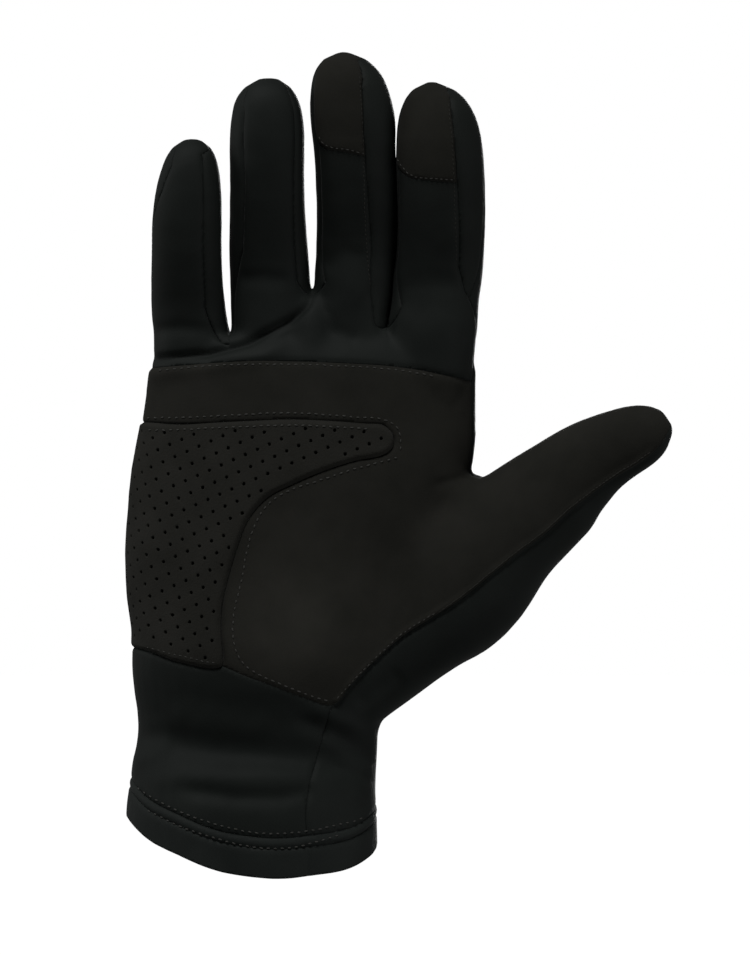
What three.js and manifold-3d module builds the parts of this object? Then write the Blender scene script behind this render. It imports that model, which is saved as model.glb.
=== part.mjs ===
// Full-finger cycling glove for the right hand, filled out as it is when worn.
// Millimetres. The fingers point up (+Z), the palm faces -Y and the thumb points towards +X.
// The origin is the centre of the cuff's opening, where the wrist goes in.
import * as THREE from 'three';
import { mergeVertices } from 'three/addons/utils/BufferGeometryUtils.js';
import Module from 'manifold-3d';

const wasm = await Module();
wasm.setup();

// Fabric
const WALL = 1.4;
const HEM_WALL = 2.2;
const PAD_RISE = 1.2;
const TUNNEL_RISE = 0.5;
const SEAM_GAP = 0.3;

// Cuff and its hem
const CUFF_WIDTH = 72.3;
const CUFF_DEPTH = 50;
const CUFF_LENGTH = 30.7;
const HEM_HEIGHT = 8.2;
const TUNNEL_HEIGHT = 2.8;
const HEM_SIDE_RISE = 5;
const HEM_TILT = 2.7;
const HEM_DIP = 11.5;

// Wrist and palm: the palm and the row of fingers sit a little towards the thumb
const WRIST_WIDTH = 69;
const WRIST_DEPTH = 46.5;
const WRIST_SHIFT = 1.7;
const PALM_BREADTH = 99;
const PALM_DEPTH = 38;
const PALM_LENGTH = 106.5;
const PALM_SHIFT = 15;
const KNUCKLE_DEPTH = 28;
const FINGER_SHIFT = 19;
const FOLD_DEPTH = 0.8;
const EDGE_WRAP = 6;

// Fingers, measured from the knuckle seam to the tip, with the gaps between them
const LITTLE_WIDTH = 20.4;
const RING_WIDTH = 21.8;
const MIDDLE_WIDTH = 22.8;
const INDEX_WIDTH = 24.2;
const LITTLE_LENGTH = 65.4;
const RING_LENGTH = 82.9;
const MIDDLE_LENGTH = 90.6;
const INDEX_LENGTH = 81.5;
const LITTLE_RING_GAP = 2.2;
const RING_MIDDLE_GAP = 3.4;
const MIDDLE_INDEX_GAP = 1.4;
const LITTLE_RING_WEB = 9;
const RING_MIDDLE_WEB = 20;
const MIDDLE_INDEX_WEB = 13;
const WEB_STRIP = 2.6;
const WEB_DEPTH = 18.4;
const SHOULDER_RISE = 8;
const FINGER_CURL = 14;
const TIP_ROUNDNESS = 1.2;

// Thumb
const THUMB_REACH = 97.5;
const THUMB_RISE = 82.6;
const THUMB_WIDTH = 23.8;
const THENAR_WIDTH = 36;
const THUMB_FORWARD = 22;

// Smoothness
const BODY_SIDES = 28;
const WEB_SIDES = 10;
const LIMB_SIDES = 14;
const HOLLOW_SIDES_SHARE = 0.6;
const SECTION_SQUARENESS = 2.25;
const CAP_ANGLES = [64, 38, 18];
const WEDGE_STEP = 18;
const SEAM_TURN = 1.5;
const CLEAN = 0.02;
const SHORT_EDGE = 0.01;
const MIN_ROW_SPACE = 1;
const MIN_FINGER_ROW_SHARE = 0.1;
const HOLLOW_OVERRUN = 6;
const WEDGE_DEPTH_MARGIN = 2;
const MITRE_LIMIT = 0.5;
const FAR = 260;

const KNUCKLE_HEIGHT = CUFF_LENGTH + PALM_LENGTH;
const BODY_START = HEM_HEIGHT + TUNNEL_HEIGHT + 2 * SEAM_GAP;

// Turns rows of values into rows with named columns
function table(columns, rows) {
  return rows.map((row) => Object.fromEntries(columns.map((name, i) => [name, row[i]])));
}

// The fingers from the little one to the index. 'sway' values are shares of the finger's width:
// how far its root and its tip lie to the side of its middle. Seam angles are in degrees, from the
// thumb side (0) over the palm side (90) to the little-finger side (180).
const FINGERS = table(
  ['width', 'length', 'gapBefore', 'rootSway', 'tipSway', 'seamRight', 'seamLeft'],
  [
    [LITTLE_WIDTH, LITTLE_LENGTH, 0, 0.01, 0.07, 50, 125],
    [RING_WIDTH, RING_LENGTH, LITTLE_RING_GAP, 0.04, 0.02, 46, 128],
    [MIDDLE_WIDTH, MIDDLE_LENGTH, RING_MIDDLE_GAP, -0.04, -0.15, 68, 150],
    [INDEX_WIDTH, INDEX_LENGTH, MIDDLE_INDEX_GAP, -0.13, -0.1, 66, 155],
  ],
);
const FINGER_ROW = FINGERS.reduce((sum, finger) => sum + finger.gapBefore + finger.width, 0);
let edge = FINGER_SHIFT - FINGER_ROW / 2;
for (const finger of FINGERS) {
  finger.x = edge + finger.gapBefore + finger.width / 2;
  edge = finger.x + finger.width / 2;
}
const [LITTLE, RING, MIDDLE, INDEX] = FINGERS;

// Sections of every finger: 'along' is a share of its length, 'width' and 'depth' of its width
const FINGER_ROWS = table(['along', 'width', 'depth', 'sway'], [
  [-0.14, 0.94, 0.86, 1],
  [0.04, 0.98, 0.96, 0.85],
  [0.26, 1, 0.93, 0.25],
  [0.52, 1, 0.85, 0],
  [0.73, 0.99, 0.8, -0.4],
]);

// What each section's shares follow
const CUFF = { shift: 0, width: CUFF_WIDTH, depth: CUFF_DEPTH };
const WRIST = { shift: WRIST_SHIFT, width: WRIST_WIDTH, depth: WRIST_DEPTH };
const PALM = { shift: PALM_SHIFT, width: PALM_BREADTH, depth: PALM_DEPTH };
const KNUCKLE = { shift: FINGER_SHIFT, width: FINGER_ROW, depth: KNUCKLE_DEPTH };

// Sections of the cuff, wrist and palm: 'cuff' and 'palm' are shares of CUFF_LENGTH and PALM_LENGTH,
// 'fold' is a share of FOLD_DEPTH, out on a ridge and in on a valley
const BODY_ROWS = table(['cuff', 'palm', 'size', 'left', 'right', 'front', 'back', 'fold'], [
  [0, 0, CUFF, -0.502, 0.498, 0.5, 0.5, 0],
  [0.38, 0, CUFF, -0.499, 0.49, 0.492, 0.492, 0],
  [0.52, 0, CUFF, -0.488, 0.487, 0.484, 0.484, -1],
  [0.67, 0, WRIST, -0.522, 0.494, 0.516, 0.516, 1],
  [0.83, 0, WRIST, -0.512, 0.497, 0.505, 0.505, -0.7],
  [1, 0, WRIST, -0.5, 0.5, 0.499, 0.499, 0.6],
  [1, 0.05, WRIST, -0.507, 0.506, 0.484, 0.49, -1],
  [1, 0.1, WRIST, -0.514, 0.514, 0.473, 0.484, 0.5],
  [1, 0.19, PALM, -0.499, 0.253, 0.566, 0.566, 0],
  [1, 0.3, PALM, -0.51, 0.304, 0.548, 0.548, 0],
  [1, 0.41, PALM, -0.52, 0.36, 0.527, 0.53, 0],
  [1, 0.52, PALM, -0.523, 0.414, 0.5, 0.513, 0],
  [1, 0.62, PALM, -0.516, 0.462, 0.481, 0.497, 0],
  [1, 0.72, PALM, -0.503, 0.496, 0.46, 0.482, 0],
  [1, 0.81, PALM, -0.485, 0.499, 0.434, 0.462, 0],
  [1, 0.905, KNUCKLE, -0.516, 0.471, 0.52, 0.548, 0],
  [1, 1, KNUCKLE, -0.498, 0.471, 0.485, 0.508, 0],
]);

// Top of the palm, under the fingers: shares of the shoulder's height, of the depth at the knuckles
// and of the finger row
const SHOULDER_ROWS = table(['rise', 'depth', 'inset'], [
  [0.4, 0.9, 0.008],
  [0.8, 0.75, 0.02],
  [1, 0.58, 0.035],
]);

// Broad dents and folds on the palm side, from one end to the other: 'across' is a share of the
// body's width there, 'palm' a share of PALM_LENGTH, 'reach' and 'depth' of PALM_DEPTH
const PALM_FOLDS = table(['across0', 'palm0', 'across1', 'palm1', 'reach', 'depth'], [
  [0.05, 1.04, 0.44, 1.12, 0.1, 0.03],
  [0.3, 0.96, 0.6, 0.96, 0.14, -0.02],
  [0.62, 0.32, 0.62, 0.72, 0.32, 0.05],
  [0.8, 0.72, 1, 0.94, 0.16, 0.03],
]);

// Thumb sections: 'reach' and 'rise' are shares of THUMB_REACH and THUMB_RISE from the thumb's root
// in the palm, 'half' and 'depth' are shares of the named width
const THUMB_ROOT = { x: 24, z: 36 };
const THUMB_ROWS = table(['reach', 'rise', 'size', 'half', 'depth'], [
  [0, 0, THENAR_WIDTH, 0.3, 0.36],
  [0.123, 0.133, THENAR_WIDTH, 0.35, 0.42],
  [0.246, 0.291, THENAR_WIDTH, 0.455, 0.46],
  [0.39, 0.478, THENAR_WIDTH, 0.5, 0.475],
  [0.513, 0.623, THENAR_WIDTH, 0.5, 0.44],
  [0.611, 0.73, THENAR_WIDTH, 0.44, 0.39],
  [0.688, 0.817, THUMB_WIDTH, 0.575, 0.53],
  [0.76, 0.886, THUMB_WIDTH, 0.5, 0.48],
  [0.833, 0.936, THUMB_WIDTH, 0.43, 0.43],
  [0.908, 0.976, THUMB_WIDTH, 0.37, 0.38],
]);

// Stitched seam below the fingers, from the little-finger edge to the index edge
const KNUCKLE_SEAM = table(['across', 'palm'], [
  [-0.1, 0.99],
  [0.02, 0.994],
  [0.304, 1.011],
  [0.584, 1.005],
  [0.77, 0.994],
  [0.885, 0.975],
  [1.003, 0.953],
  [1.1, 0.93],
]);

// Outline of the pad: across the top, round its tip, down its curved inner side and back along the
// bottom to the little-finger edge
const PAD_OUTLINE = table(['across', 'palm'], [
  [-0.12, 0.85],
  [0.005, 0.845],
  [0.114, 0.835],
  [0.331, 0.848],
  [0.445, 0.853],
  [0.672, 0.842],
  [0.737, 0.836],
  [0.762, 0.806],
  [0.756, 0.774],
  [0.73, 0.757],
  [0.656, 0.741],
  [0.563, 0.709],
  [0.485, 0.677],
  [0.411, 0.632],
  [0.372, 0.575],
  [0.355, 0.504],
  [0.339, 0.42],
  [0.327, 0.343],
  [0.333, 0.259],
  [0.345, 0.19],
  [0.325, 0.174],
  [0.178, 0.189],
  [0.052, 0.221],
  [-0.12, 0.25],
]);

// Lower edge of the palm panel, from the pad to the foot of the thumb seam
const PALM_FOOT = table(['across', 'palm'], [
  [-0.12, 0.262],
  [0.052, 0.232],
  [0.178, 0.2],
  [0.32, 0.178],
  [0.436, 0.153],
  [0.676, 0.096],
  [0.81, 0.071],
]);

// Seam down the cuff from the foot of the thumb seam: 'cuff' is a share of CUFF_LENGTH
const CUFF_SEAM = table(['across', 'cuff'], [
  [0.785, 1.06],
  [0.774, 0.9],
  [0.741, 0.55],
  [0.724, 0.3],
  [0.722, -0.3],
]);

// Thumb seam: 'along' is a share of the thumb's centre line, 'side' a share of its half width,
// positive on the outer side
const THUMB_SEAM = table(['along', 'side'], [
  [0.145, -0.25],
  [0.313, 0.05],
  [0.46, 0.255],
  [0.62, 0.415],
  [0.7, 0.505],
  [0.774, 0.64],
  [0.842, 0.73],
  [0.904, 0.77],
  [0.957, 0.73],
  [1, 0.3],
]);

// Seam between the thumb panel and the back of the hand
const BACK_THUMB_SEAM = table(['across', 'palm'], [
  [1.04, 0.7],
  [0.86, 0.3],
  [0.84, 0],
  [0.84, -0.4],
]);

// How a side strip of a finger opens from its lower point and closes near the tip: 'along' is a share
// of the finger's length, from the low point or, in the upper part, from the finger's root
const STRIP_ROWS = table(['along', 'open', 'upper'], [
  [0, 0.05, false],
  [0.12, 0.6, false],
  [0.3, 1, false],
  [0.8, 1, true],
  [0.97, 0.05, true],
]);
const STRIP_ANGLE = 72;
const STRIP_START_ANGLE = 8;
const TIP_END = 1.06;
const FRONT_START = 0.02;
const LITTLE_STRIP_START = 0.25;
const INDEX_STRIP_START = 0.2;
const INDEX_PATCH_START = 0.66;
const MIDDLE_PATCH_START = 0.69;

const { clamp, degToRad, lerp, smoothstep } = THREE.MathUtils;

// A point between table rows, with every numeric column interpolated at a value of one column
function between(rows, key, value) {
  const last = rows.length - 1;
  const i = clamp(rows.findIndex((row) => row[key] > value), 1, last);
  const next = value >= rows[last][key] ? last : i;
  const a = rows[next - 1];
  const b = rows[next];
  const share = clamp((value - a[key]) / (b[key] - a[key]), 0, 1);
  return Object.fromEntries(Object.keys(a).map((name) => [name, lerp(a[name], b[name], share)]));
}

// Body sections in millimetres
const SECTIONS = BODY_ROWS.map((row) => ({
  z: CUFF_LENGTH * row.cuff + PALM_LENGTH * row.palm,
  left: row.size.shift + row.left * row.size.width,
  right: row.size.shift + row.right * row.size.width,
  front: row.front * row.size.depth,
  back: row.back * row.size.depth,
  fold: row.fold * FOLD_DEPTH,
}));

function bodyPoint({ across, z }) {
  const { left, right } = between(SECTIONS, 'z', z);
  return new THREE.Vector2(lerp(left, right, across), z);
}

// The cuff's edge dips on the palm side and stands higher on the little-finger side
function hemDrop(x, y) {
  const frontShare = clamp(0.5 - y / CUFF_DEPTH, 0, 1);
  const arch = Math.max(0, 1 - (2 * x / CUFF_WIDTH) ** 2);
  return HEM_SIDE_RISE - HEM_TILT * 2 * x / CUFF_WIDTH - HEM_DIP * frontShare * arch;
}

const WEBS = [
  { before: LITTLE, after: RING, rise: LITTLE_RING_WEB },
  { before: RING, after: MIDDLE, rise: RING_MIDDLE_WEB },
  { before: MIDDLE, after: INDEX, rise: MIDDLE_INDEX_WEB },
];
const [LITTLE_RING, RING_MIDDLE, MIDDLE_INDEX] = WEBS;

// How far a palm fold moves the surface at a place, out of the palm when positive
function foldAt(x, z) {
  let move = 0;
  for (const fold of PALM_FOLDS) {
    const a = bodyPoint({ across: fold.across0, z: CUFF_LENGTH + PALM_LENGTH * fold.palm0 });
    const b = bodyPoint({ across: fold.across1, z: CUFF_LENGTH + PALM_LENGTH * fold.palm1 });
    const line = new THREE.Line3(new THREE.Vector3(a.x, 0, a.y), new THREE.Vector3(b.x, 0, b.y));
    const place = new THREE.Vector3(x, 0, z);
    const nearest = line.closestPointToPoint(place, true, new THREE.Vector3());
    const distance = nearest.distanceTo(place) / (fold.reach * PALM_DEPTH);
    move -= fold.depth * PALM_DEPTH * Math.exp(-distance * distance);
  }
  return move;
}

function geometryOf(points, index) {
  const geometry = new THREE.BufferGeometry();
  const positions = points.flatMap((point) => point.toArray());
  geometry.setAttribute('position', new THREE.Float32BufferAttribute(positions, 3));
  geometry.setIndex(index);
  return geometry;
}

function solidOf(geometry) {
  const bare = geometry.clone();
  bare.deleteAttribute('normal');
  bare.deleteAttribute('uv');
  const merged = mergeVertices(bare, 1e-4);
  return new wasm.Manifold(new wasm.Mesh({
    numProp: 3,
    vertProperties: Float32Array.from(merged.attributes.position.array),
    triVerts: Uint32Array.from(merged.index.array),
  }));
}

// A closed solid through rings of points, each counterclockwise seen from the last one. A wedge's
// last side is divided along its other diagonal, so that two wedges meet without a sliver.
function loft(rings, isWedge = false) {
  const around = rings[0].length;
  const points = rings.flat();
  const index = [];
  for (let row = 0; row + 1 < rings.length; row += 1) {
    for (let i = 0; i < around; i += 1) {
      const a = row * around + i;
      const b = row * around + (i + 1) % around;
      if (isWedge && i === around - 1) {
        index.push(a, b, a + around, b, b + around, a + around);
      } else {
        index.push(a, b, b + around, a, b + around, a + around);
      }
    }
  }
  for (const [row, first, second] of [[0, 1, 0], [rings.length - 1, 0, 1]]) {
    const centre = new THREE.Vector3();
    rings[row].forEach((point) => centre.addScaledVector(point, 1 / around));
    points.push(centre);
    for (let i = 0; i < around; i += 1) {
      const pair = [row * around + i, row * around + (i + 1) % around];
      index.push(points.length - 1, pair[first], pair[second]);
    }
  }
  return solidOf(geometryOf(points, index));
}

// A rounded-square coordinate: the cosine or sine of an angle, pushed outwards
function squared(value) {
  return Math.sign(value) * Math.abs(value) ** (2 / SECTION_SQUARENESS);
}

// A point of a section: the angle runs from the side (0) over the front (90) to the far side (180)
function sectionPoint(centre, side, half, front, back, angle) {
  const depth = Math.sin(angle) > 0 ? front : back;
  return centre.clone()
    .addScaledVector(side, half * squared(Math.cos(angle)))
    .add(new THREE.Vector3(0, -depth * squared(Math.sin(angle)), 0));
}

function ring(centre, side, half, front, back, sides) {
  return Array.from({ length: sides }, (_, i) => (
    sectionPoint(centre, side, half, front, back, -2 * Math.PI * i / sides)
  ));
}

const ACROSS = new THREE.Vector3(1, 0, 0);
const UPWARDS = new THREE.Vector3(0, 0, 1);

// The hollow inside the fabric has fewer sides than the outer form
function sidesFor(count, offset) {
  return offset < 0 ? Math.round(count * HOLLOW_SIDES_SHARE) : count;
}

function bodyRing(section, offset) {
  const centre = new THREE.Vector3((section.left + section.right) / 2, 0, section.z);
  const grow = offset + section.fold;
  const half = (section.right - section.left) / 2 + grow;
  const sides = sidesFor(BODY_SIDES, offset);
  const points = ring(centre, ACROSS, half, section.front + grow, section.back + grow, sides);
  const hemShare = 1 - smoothstep(section.z, BODY_START, CUFF_LENGTH);
  for (const point of points) {
    const frontShare = clamp(-point.y / section.front, 0, 1);
    point.y -= foldAt(point.x, point.z) * frontShare;
    point.z += hemShare * hemDrop(point.x, point.y);
  }
  return points;
}

// A closed stretch of the cuff and palm between two heights
function bodyTube(from, to, offset) {
  const inside = SECTIONS.filter(({ z }) => z > from + MIN_ROW_SPACE && z < to - MIN_ROW_SPACE);
  const start = { ...between(SECTIONS, 'z', from), z: from };
  const end = { ...between(SECTIONS, 'z', to), z: to };
  return [start, ...inside, end].map((section) => bodyRing(section, offset));
}

// The whole body up to the web between the fingers
function body(from, offset) {
  const rings = bodyTube(from, KNUCKLE_HEIGHT, offset);
  const knuckle = SECTIONS.at(-1);
  for (const row of SHOULDER_ROWS) {
    const section = {
      ...knuckle,
      left: knuckle.left + row.inset * FINGER_ROW,
      right: knuckle.right - row.inset * FINGER_ROW,
      front: knuckle.front * row.depth,
      back: knuckle.back * row.depth,
    };
    const points = bodyRing(section, offset);
    points.forEach((point) => { point.z += row.rise * (SHOULDER_RISE + offset); });
    rings.push(points);
  }
  return loft(rings);
}

// The web between two fingers: a rounded bar from the middle of one to the middle of the other
function web({ before, after, rise }, offset) {
  const half = (rise + SHOULDER_RISE) / 2;
  const rings = [after.x, (before.x + after.x) / 2, before.x].map((x) => {
    const centre = new THREE.Vector3(x, 0, KNUCKLE_HEIGHT + rise - half);
    const depth = WEB_DEPTH / 2 + offset;
    return ring(centre, UPWARDS, half + offset, depth, depth, sidesFor(WEB_SIDES, offset));
  });
  return loft(rings);
}

// A finger's section at a share of its length
function fingerSection(finger, along) {
  const row = between(FINGER_ROWS, 'along', along);
  const sway = row.sway > 0 ? row.sway * finger.rootSway : -row.sway * finger.tipSway;
  const curl = FINGER_CURL * Math.max(0, along) ** 2 * finger.length / MIDDLE_LENGTH;
  const z = KNUCKLE_HEIGHT + along * finger.length;
  return {
    centre: new THREE.Vector3(finger.x + sway * finger.width, -curl, z),
    side: ACROSS,
    half: row.width * finger.width / 2,
    depth: row.depth * finger.width / 2,
  };
}

// Where the middle of the thumb runs, front to back
function thumbForward(x) {
  return -THUMB_FORWARD * Math.max(0, (x - THUMB_ROOT.x) / THUMB_REACH) ** 2;
}

const THUMB_CENTRES = [...THUMB_ROWS, { reach: 1, rise: 1 }].map(({ reach, rise }) => {
  const x = THUMB_ROOT.x + reach * THUMB_REACH;
  return new THREE.Vector3(x, thumbForward(x), THUMB_ROOT.z + rise * THUMB_RISE);
});

const THUMB_SECTIONS = THUMB_ROWS.map((row, i) => {
  const before = THUMB_CENTRES[Math.max(0, i - 1)];
  const after = THUMB_CENTRES[i + 1];
  const along = after.clone().sub(before).setY(0).normalize();
  return {
    centre: THUMB_CENTRES[i],
    side: new THREE.Vector3(along.z, 0, -along.x),
    half: row.half * row.size,
    depth: row.depth * row.size,
  };
});

// A closed tube through sections, with a rounded end at the tip
function limb(sections, tip, offset) {
  const last = sections.at(-1);
  const reach = tip.clone().sub(last.centre);
  reach.setLength(reach.length() + offset);
  const caps = CAP_ANGLES.map((angle) => {
    const width = Math.sin(degToRad(angle));
    return {
      centre: last.centre.clone().addScaledVector(reach, Math.cos(degToRad(angle))),
      side: last.side,
      half: width * (last.half + offset) - offset,
      depth: width * (last.depth + offset) - offset,
    };
  });
  const rings = [...sections, ...caps].map(({ centre, side, half, depth }) => (
    ring(centre, side, half + offset, depth + offset, depth + offset, sidesFor(LIMB_SIDES, offset))
  ));
  return loft(rings);
}

function fingerLimb(finger, offset) {
  const capStart = 1 - TIP_ROUNDNESS * finger.width / 2 / finger.length;
  const shares = FINGER_ROWS.map((row) => row.along)
    .filter((along) => along < capStart - MIN_FINGER_ROW_SHARE);
  const sections = [...shares, capStart].map((along) => fingerSection(finger, along));
  return limb(sections, fingerSection(finger, 1).centre, offset);
}

// The glove's closed outer form, grown or shrunk by an offset
function form(from, offset) {
  return [
    ...FINGERS.map((finger) => fingerLimb(finger, offset)),
    ...WEBS.map((place) => web(place, offset)),
    limb(THUMB_SECTIONS, THUMB_CENTRES.at(-1), offset),
  ].reduce((whole, part) => whole.add(part), body(from, offset));
}

// Moves a closed outline outwards
function grown(outline, distance) {
  const turn = THREE.ShapeUtils.isClockWise(outline) ? -1 : 1;
  return outline.map((point, i) => {
    const before = outline.at(i - 1);
    const after = outline[(i + 1) % outline.length];
    const a = point.clone().sub(before).normalize();
    const b = after.clone().sub(point).normalize();
    const normal = new THREE.Vector2(a.y + b.y, -a.x - b.x).multiplyScalar(turn).normalize();
    const sharpness = Math.max(MITRE_LIMIT, Math.sqrt((1 + a.dot(b)) / 2));
    return point.clone().addScaledVector(normal, distance / sharpness);
  });
}

const LONG_EXTRUSION = { depth: 2 * FAR, bevelEnabled: false };

// An outline in the front view, carried through the whole depth
function through(outline) {
  const geometry = new THREE.ExtrudeGeometry(new THREE.Shape(outline), LONG_EXTRUSION);
  geometry.rotateX(Math.PI / 2);
  geometry.translate(0, FAR, 0);
  return solidOf(geometry);
}

// Everything on the palm side of the seam line that runs round the glove's edge
const SPLIT_SHARES = [0, 0.2, 0.4, 0.55, 0.7, 0.85, 1, 1.2];
function palmSide(shift) {
  const edgeX = between(SECTIONS, 'z', CUFF_LENGTH + PALM_LENGTH / 2).left;
  const curve = SPLIT_SHARES.map((share) => THUMB_ROOT.x + share * THUMB_REACH)
    .map((x) => new THREE.Vector2(x, thumbForward(x) + shift));
  const outline = [
    new THREE.Vector2(-FAR, -FAR),
    new THREE.Vector2(FAR, -FAR),
    new THREE.Vector2(FAR, curve.at(-1).y),
    ...curve.reverse(),
    new THREE.Vector2(edgeX + EDGE_WRAP, shift),
    new THREE.Vector2(edgeX + EDGE_WRAP / 2, EDGE_WRAP + shift),
    new THREE.Vector2(-FAR, EDGE_WRAP + shift),
  ];
  const geometry = new THREE.ExtrudeGeometry(new THREE.Shape(outline), LONG_EXTRUSION);
  geometry.translate(0, 0, -FAR / 2);
  return solidOf(geometry);
}

// Seams as lines in the front view
const palmLine = (rows) => rows.map((row) => (
  bodyPoint({ across: row.across, z: CUFF_LENGTH + PALM_LENGTH * row.palm })
));
const knuckleSeam = palmLine(KNUCKLE_SEAM);
const padOutline = palmLine(PAD_OUTLINE);
const palmFoot = palmLine(PALM_FOOT);
const backThumbSeam = palmLine(BACK_THUMB_SEAM);
const cuffSeam = CUFF_SEAM.map((row) => bodyPoint({ across: row.across, z: CUFF_LENGTH * row.cuff }));
const thumbCurve = new THREE.CatmullRomCurve3(THUMB_CENTRES.map((point) => point.clone().setY(0)));
const thumbSeam = THUMB_SEAM.map(({ along, side }) => {
  const centre = thumbCurve.getPointAt(along);
  const tangent = thumbCurve.getTangentAt(along);
  const nearest = THUMB_SECTIONS.toSorted((a, b) => (
    Math.hypot(a.centre.x - centre.x, a.centre.z - centre.z)
    - Math.hypot(b.centre.x - centre.x, b.centre.z - centre.z)
  ))[0];
  const outwards = side * nearest.half;
  return new THREE.Vector2(centre.x + outwards * tangent.z, centre.z - outwards * tangent.x);
});
const thumbTip = thumbSeam.at(-1);
const thumbSeamOut = [...thumbSeam, new THREE.Vector2(FAR, thumbTip.y)];

const webLine = WEBS.map(({ before, after, rise }) => {
  const x = (before.x + before.width / 2 + after.x - after.width / 2) / 2;
  return new THREE.Vector2(x, KNUCKLE_HEIGHT + rise - WEB_STRIP);
});

const palmOutline = [
  ...knuckleSeam,
  new THREE.Vector2(FAR, knuckleSeam.at(-1).y),
  ...thumbSeamOut.toReversed(),
  ...palmFoot.toReversed(),
  new THREE.Vector2(-FAR, palmFoot[0].y),
  new THREE.Vector2(-FAR, knuckleSeam[0].y),
];
const fingerBaseOutline = [
  ...knuckleSeam,
  new THREE.Vector2(FAR, knuckleSeam.at(-1).y),
  new THREE.Vector2(FAR, webLine.at(-1).y),
  ...webLine.toReversed(),
  new THREE.Vector2(-FAR, webLine[0].y),
  new THREE.Vector2(-FAR, knuckleSeam[0].y),
];
const heelOutline = [
  new THREE.Vector2(-FAR, palmFoot[0].y),
  ...palmFoot,
  ...cuffSeam,
  new THREE.Vector2(-FAR, cuffSeam.at(-1).y),
];
const thumbFrontOutline = [
  palmFoot.at(-1),
  ...thumbSeamOut,
  new THREE.Vector2(FAR, cuffSeam.at(-1).y),
  ...cuffSeam.toReversed(),
];
const thumbBackOutline = [
  backThumbSeam[0],
  new THREE.Vector2(backThumbSeam[0].x, KNUCKLE_HEIGHT),
  new THREE.Vector2(FAR, KNUCKLE_HEIGHT),
  new THREE.Vector2(FAR, backThumbSeam.at(-1).y),
  ...backThumbSeam.slice(1).toReversed(),
];

// Regions: each gives the space of one panel, grown by a distance
const onPalmSide = (outline) => (grow) => through(grown(outline, grow)).intersect(palmSide(grow));
const onBackSide = (outline) => (grow) => through(grown(outline, grow)).subtract(palmSide(-grow));
const joined = (...regions) => (grow) => (
  regions.map((region) => region(grow)).reduce((whole, part) => whole.add(part))
);

// A wedge of one finger between two seam angles, given at shares of the finger's length
function wedge(finger, rows) {
  const margin = Math.min(LITTLE_RING_GAP, RING_MIDDLE_GAP, MIDDLE_INDEX_GAP) / 2;
  const widest = Math.max(...rows.map((row) => row.to - row.from));
  const stepCount = Math.ceil(widest / WEDGE_STEP);
  return (grow) => {
    const rings = rows.map((row, i) => {
      const section = fingerSection(finger, row.along);
      const turn = SEAM_TURN * grow / section.half;
      const from = degToRad(row.from) - turn;
      const to = degToRad(row.to) + turn;
      const centre = section.centre.clone();
      centre.z += i === 0 ? -grow : 0;
      centre.z += i === rows.length - 1 ? grow : 0;
      const half = section.half + margin + grow;
      const depth = section.depth + WEDGE_DEPTH_MARGIN + grow;
      const steps = Array.from({ length: stepCount + 1 }, (_, k) => lerp(to, from, k / stepCount));
      const middle = (from + to) / 2;
      const inwards = new THREE.Vector3(-Math.cos(middle), Math.sin(middle), 0);
      const apex = centre.clone().addScaledVector(inwards, grow);
      return [apex, ...steps.map((at) => sectionPoint(centre, ACROSS, half, depth, depth, at))];
    });
    return loft(rings, true);
  };
}

// The seams of a side strip, as angles at shares of the finger's length: it opens from a low point at
// the finger's side and closes at its middle near the tip
function stripSeams(finger, start, onRight) {
  const inwards = onRight ? 1 : -1;
  const full = onRight ? finger.seamRight : finger.seamLeft;
  const low = onRight ? STRIP_START_ANGLE : 180 - STRIP_START_ANGLE;
  const high = full - inwards * STRIP_ANGLE / 2;
  return STRIP_ROWS.map((row) => {
    const front = lerp(row.upper ? high : low, full, row.open);
    const back = row.upper
      ? lerp(high, full - inwards * STRIP_ANGLE, row.open)
      : front - inwards * STRIP_ANGLE * row.open;
    return { along: row.upper ? row.along : start + row.along, front, back };
  });
}

// A side strip of a finger, on its right or left side
function strip(finger, onRight) {
  const seams = onRight ? finger.rightSeams : finger.leftSeams;
  return wedge(finger, seams.map(({ along, front, back }) => (
    { along, from: Math.min(front, back), to: Math.max(front, back) }
  )));
}

// The front of a finger between its two side seams, and between their upper ends over the tip
function fingerFront(finger, start, end) {
  const turns = [...finger.rightSeams, ...finger.leftSeams].map((row) => row.along)
    .filter((along) => along > start && along < end);
  const shares = [...new Set([start, ...turns, end])].sort((a, b) => a - b);
  return wedge(finger, shares.map((along) => ({
    along,
    from: between(finger.rightSeams, 'along', along).front,
    to: between(finger.leftSeams, 'along', along).front,
  })));
}

// The bottom of a strip between two fingers, where it runs from the palm to the back of the hand
function webBridge({ before, after, rise }) {
  const reach = WALL + WEB_STRIP;
  return (grow) => {
    const left = before.x + before.width / 2 - reach - grow;
    const right = after.x - after.width / 2 + reach + grow;
    const geometry = new THREE.BoxGeometry(right - left, 2 * KNUCKLE_DEPTH, 2 * (WEB_STRIP + grow));
    geometry.translate((left + right) / 2, 0, KNUCKLE_HEIGHT + rise);
    return solidOf(geometry);
  };
}

function fourchette(place) {
  return joined(strip(place.before, true), strip(place.after, false), webBridge(place));
}

for (const { before, after, rise } of WEBS) {
  before.rightSeams = stripSeams(before, rise / before.length, true);
  after.leftSeams = stripSeams(after, rise / after.length, false);
}
LITTLE.leftSeams = stripSeams(LITTLE, LITTLE_STRIP_START, false);
INDEX.rightSeams = stripSeams(INDEX, INDEX_STRIP_START, true);

const indexTip = fingerFront(INDEX, INDEX_PATCH_START, TIP_END);
const middleTip = fingerFront(MIDDLE, MIDDLE_PATCH_START, TIP_END);
const fingerFronts = joined(
  onPalmSide(fingerBaseOutline),
  ...FINGERS.map((finger) => fingerFront(finger, FRONT_START, TIP_END)),
);

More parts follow.
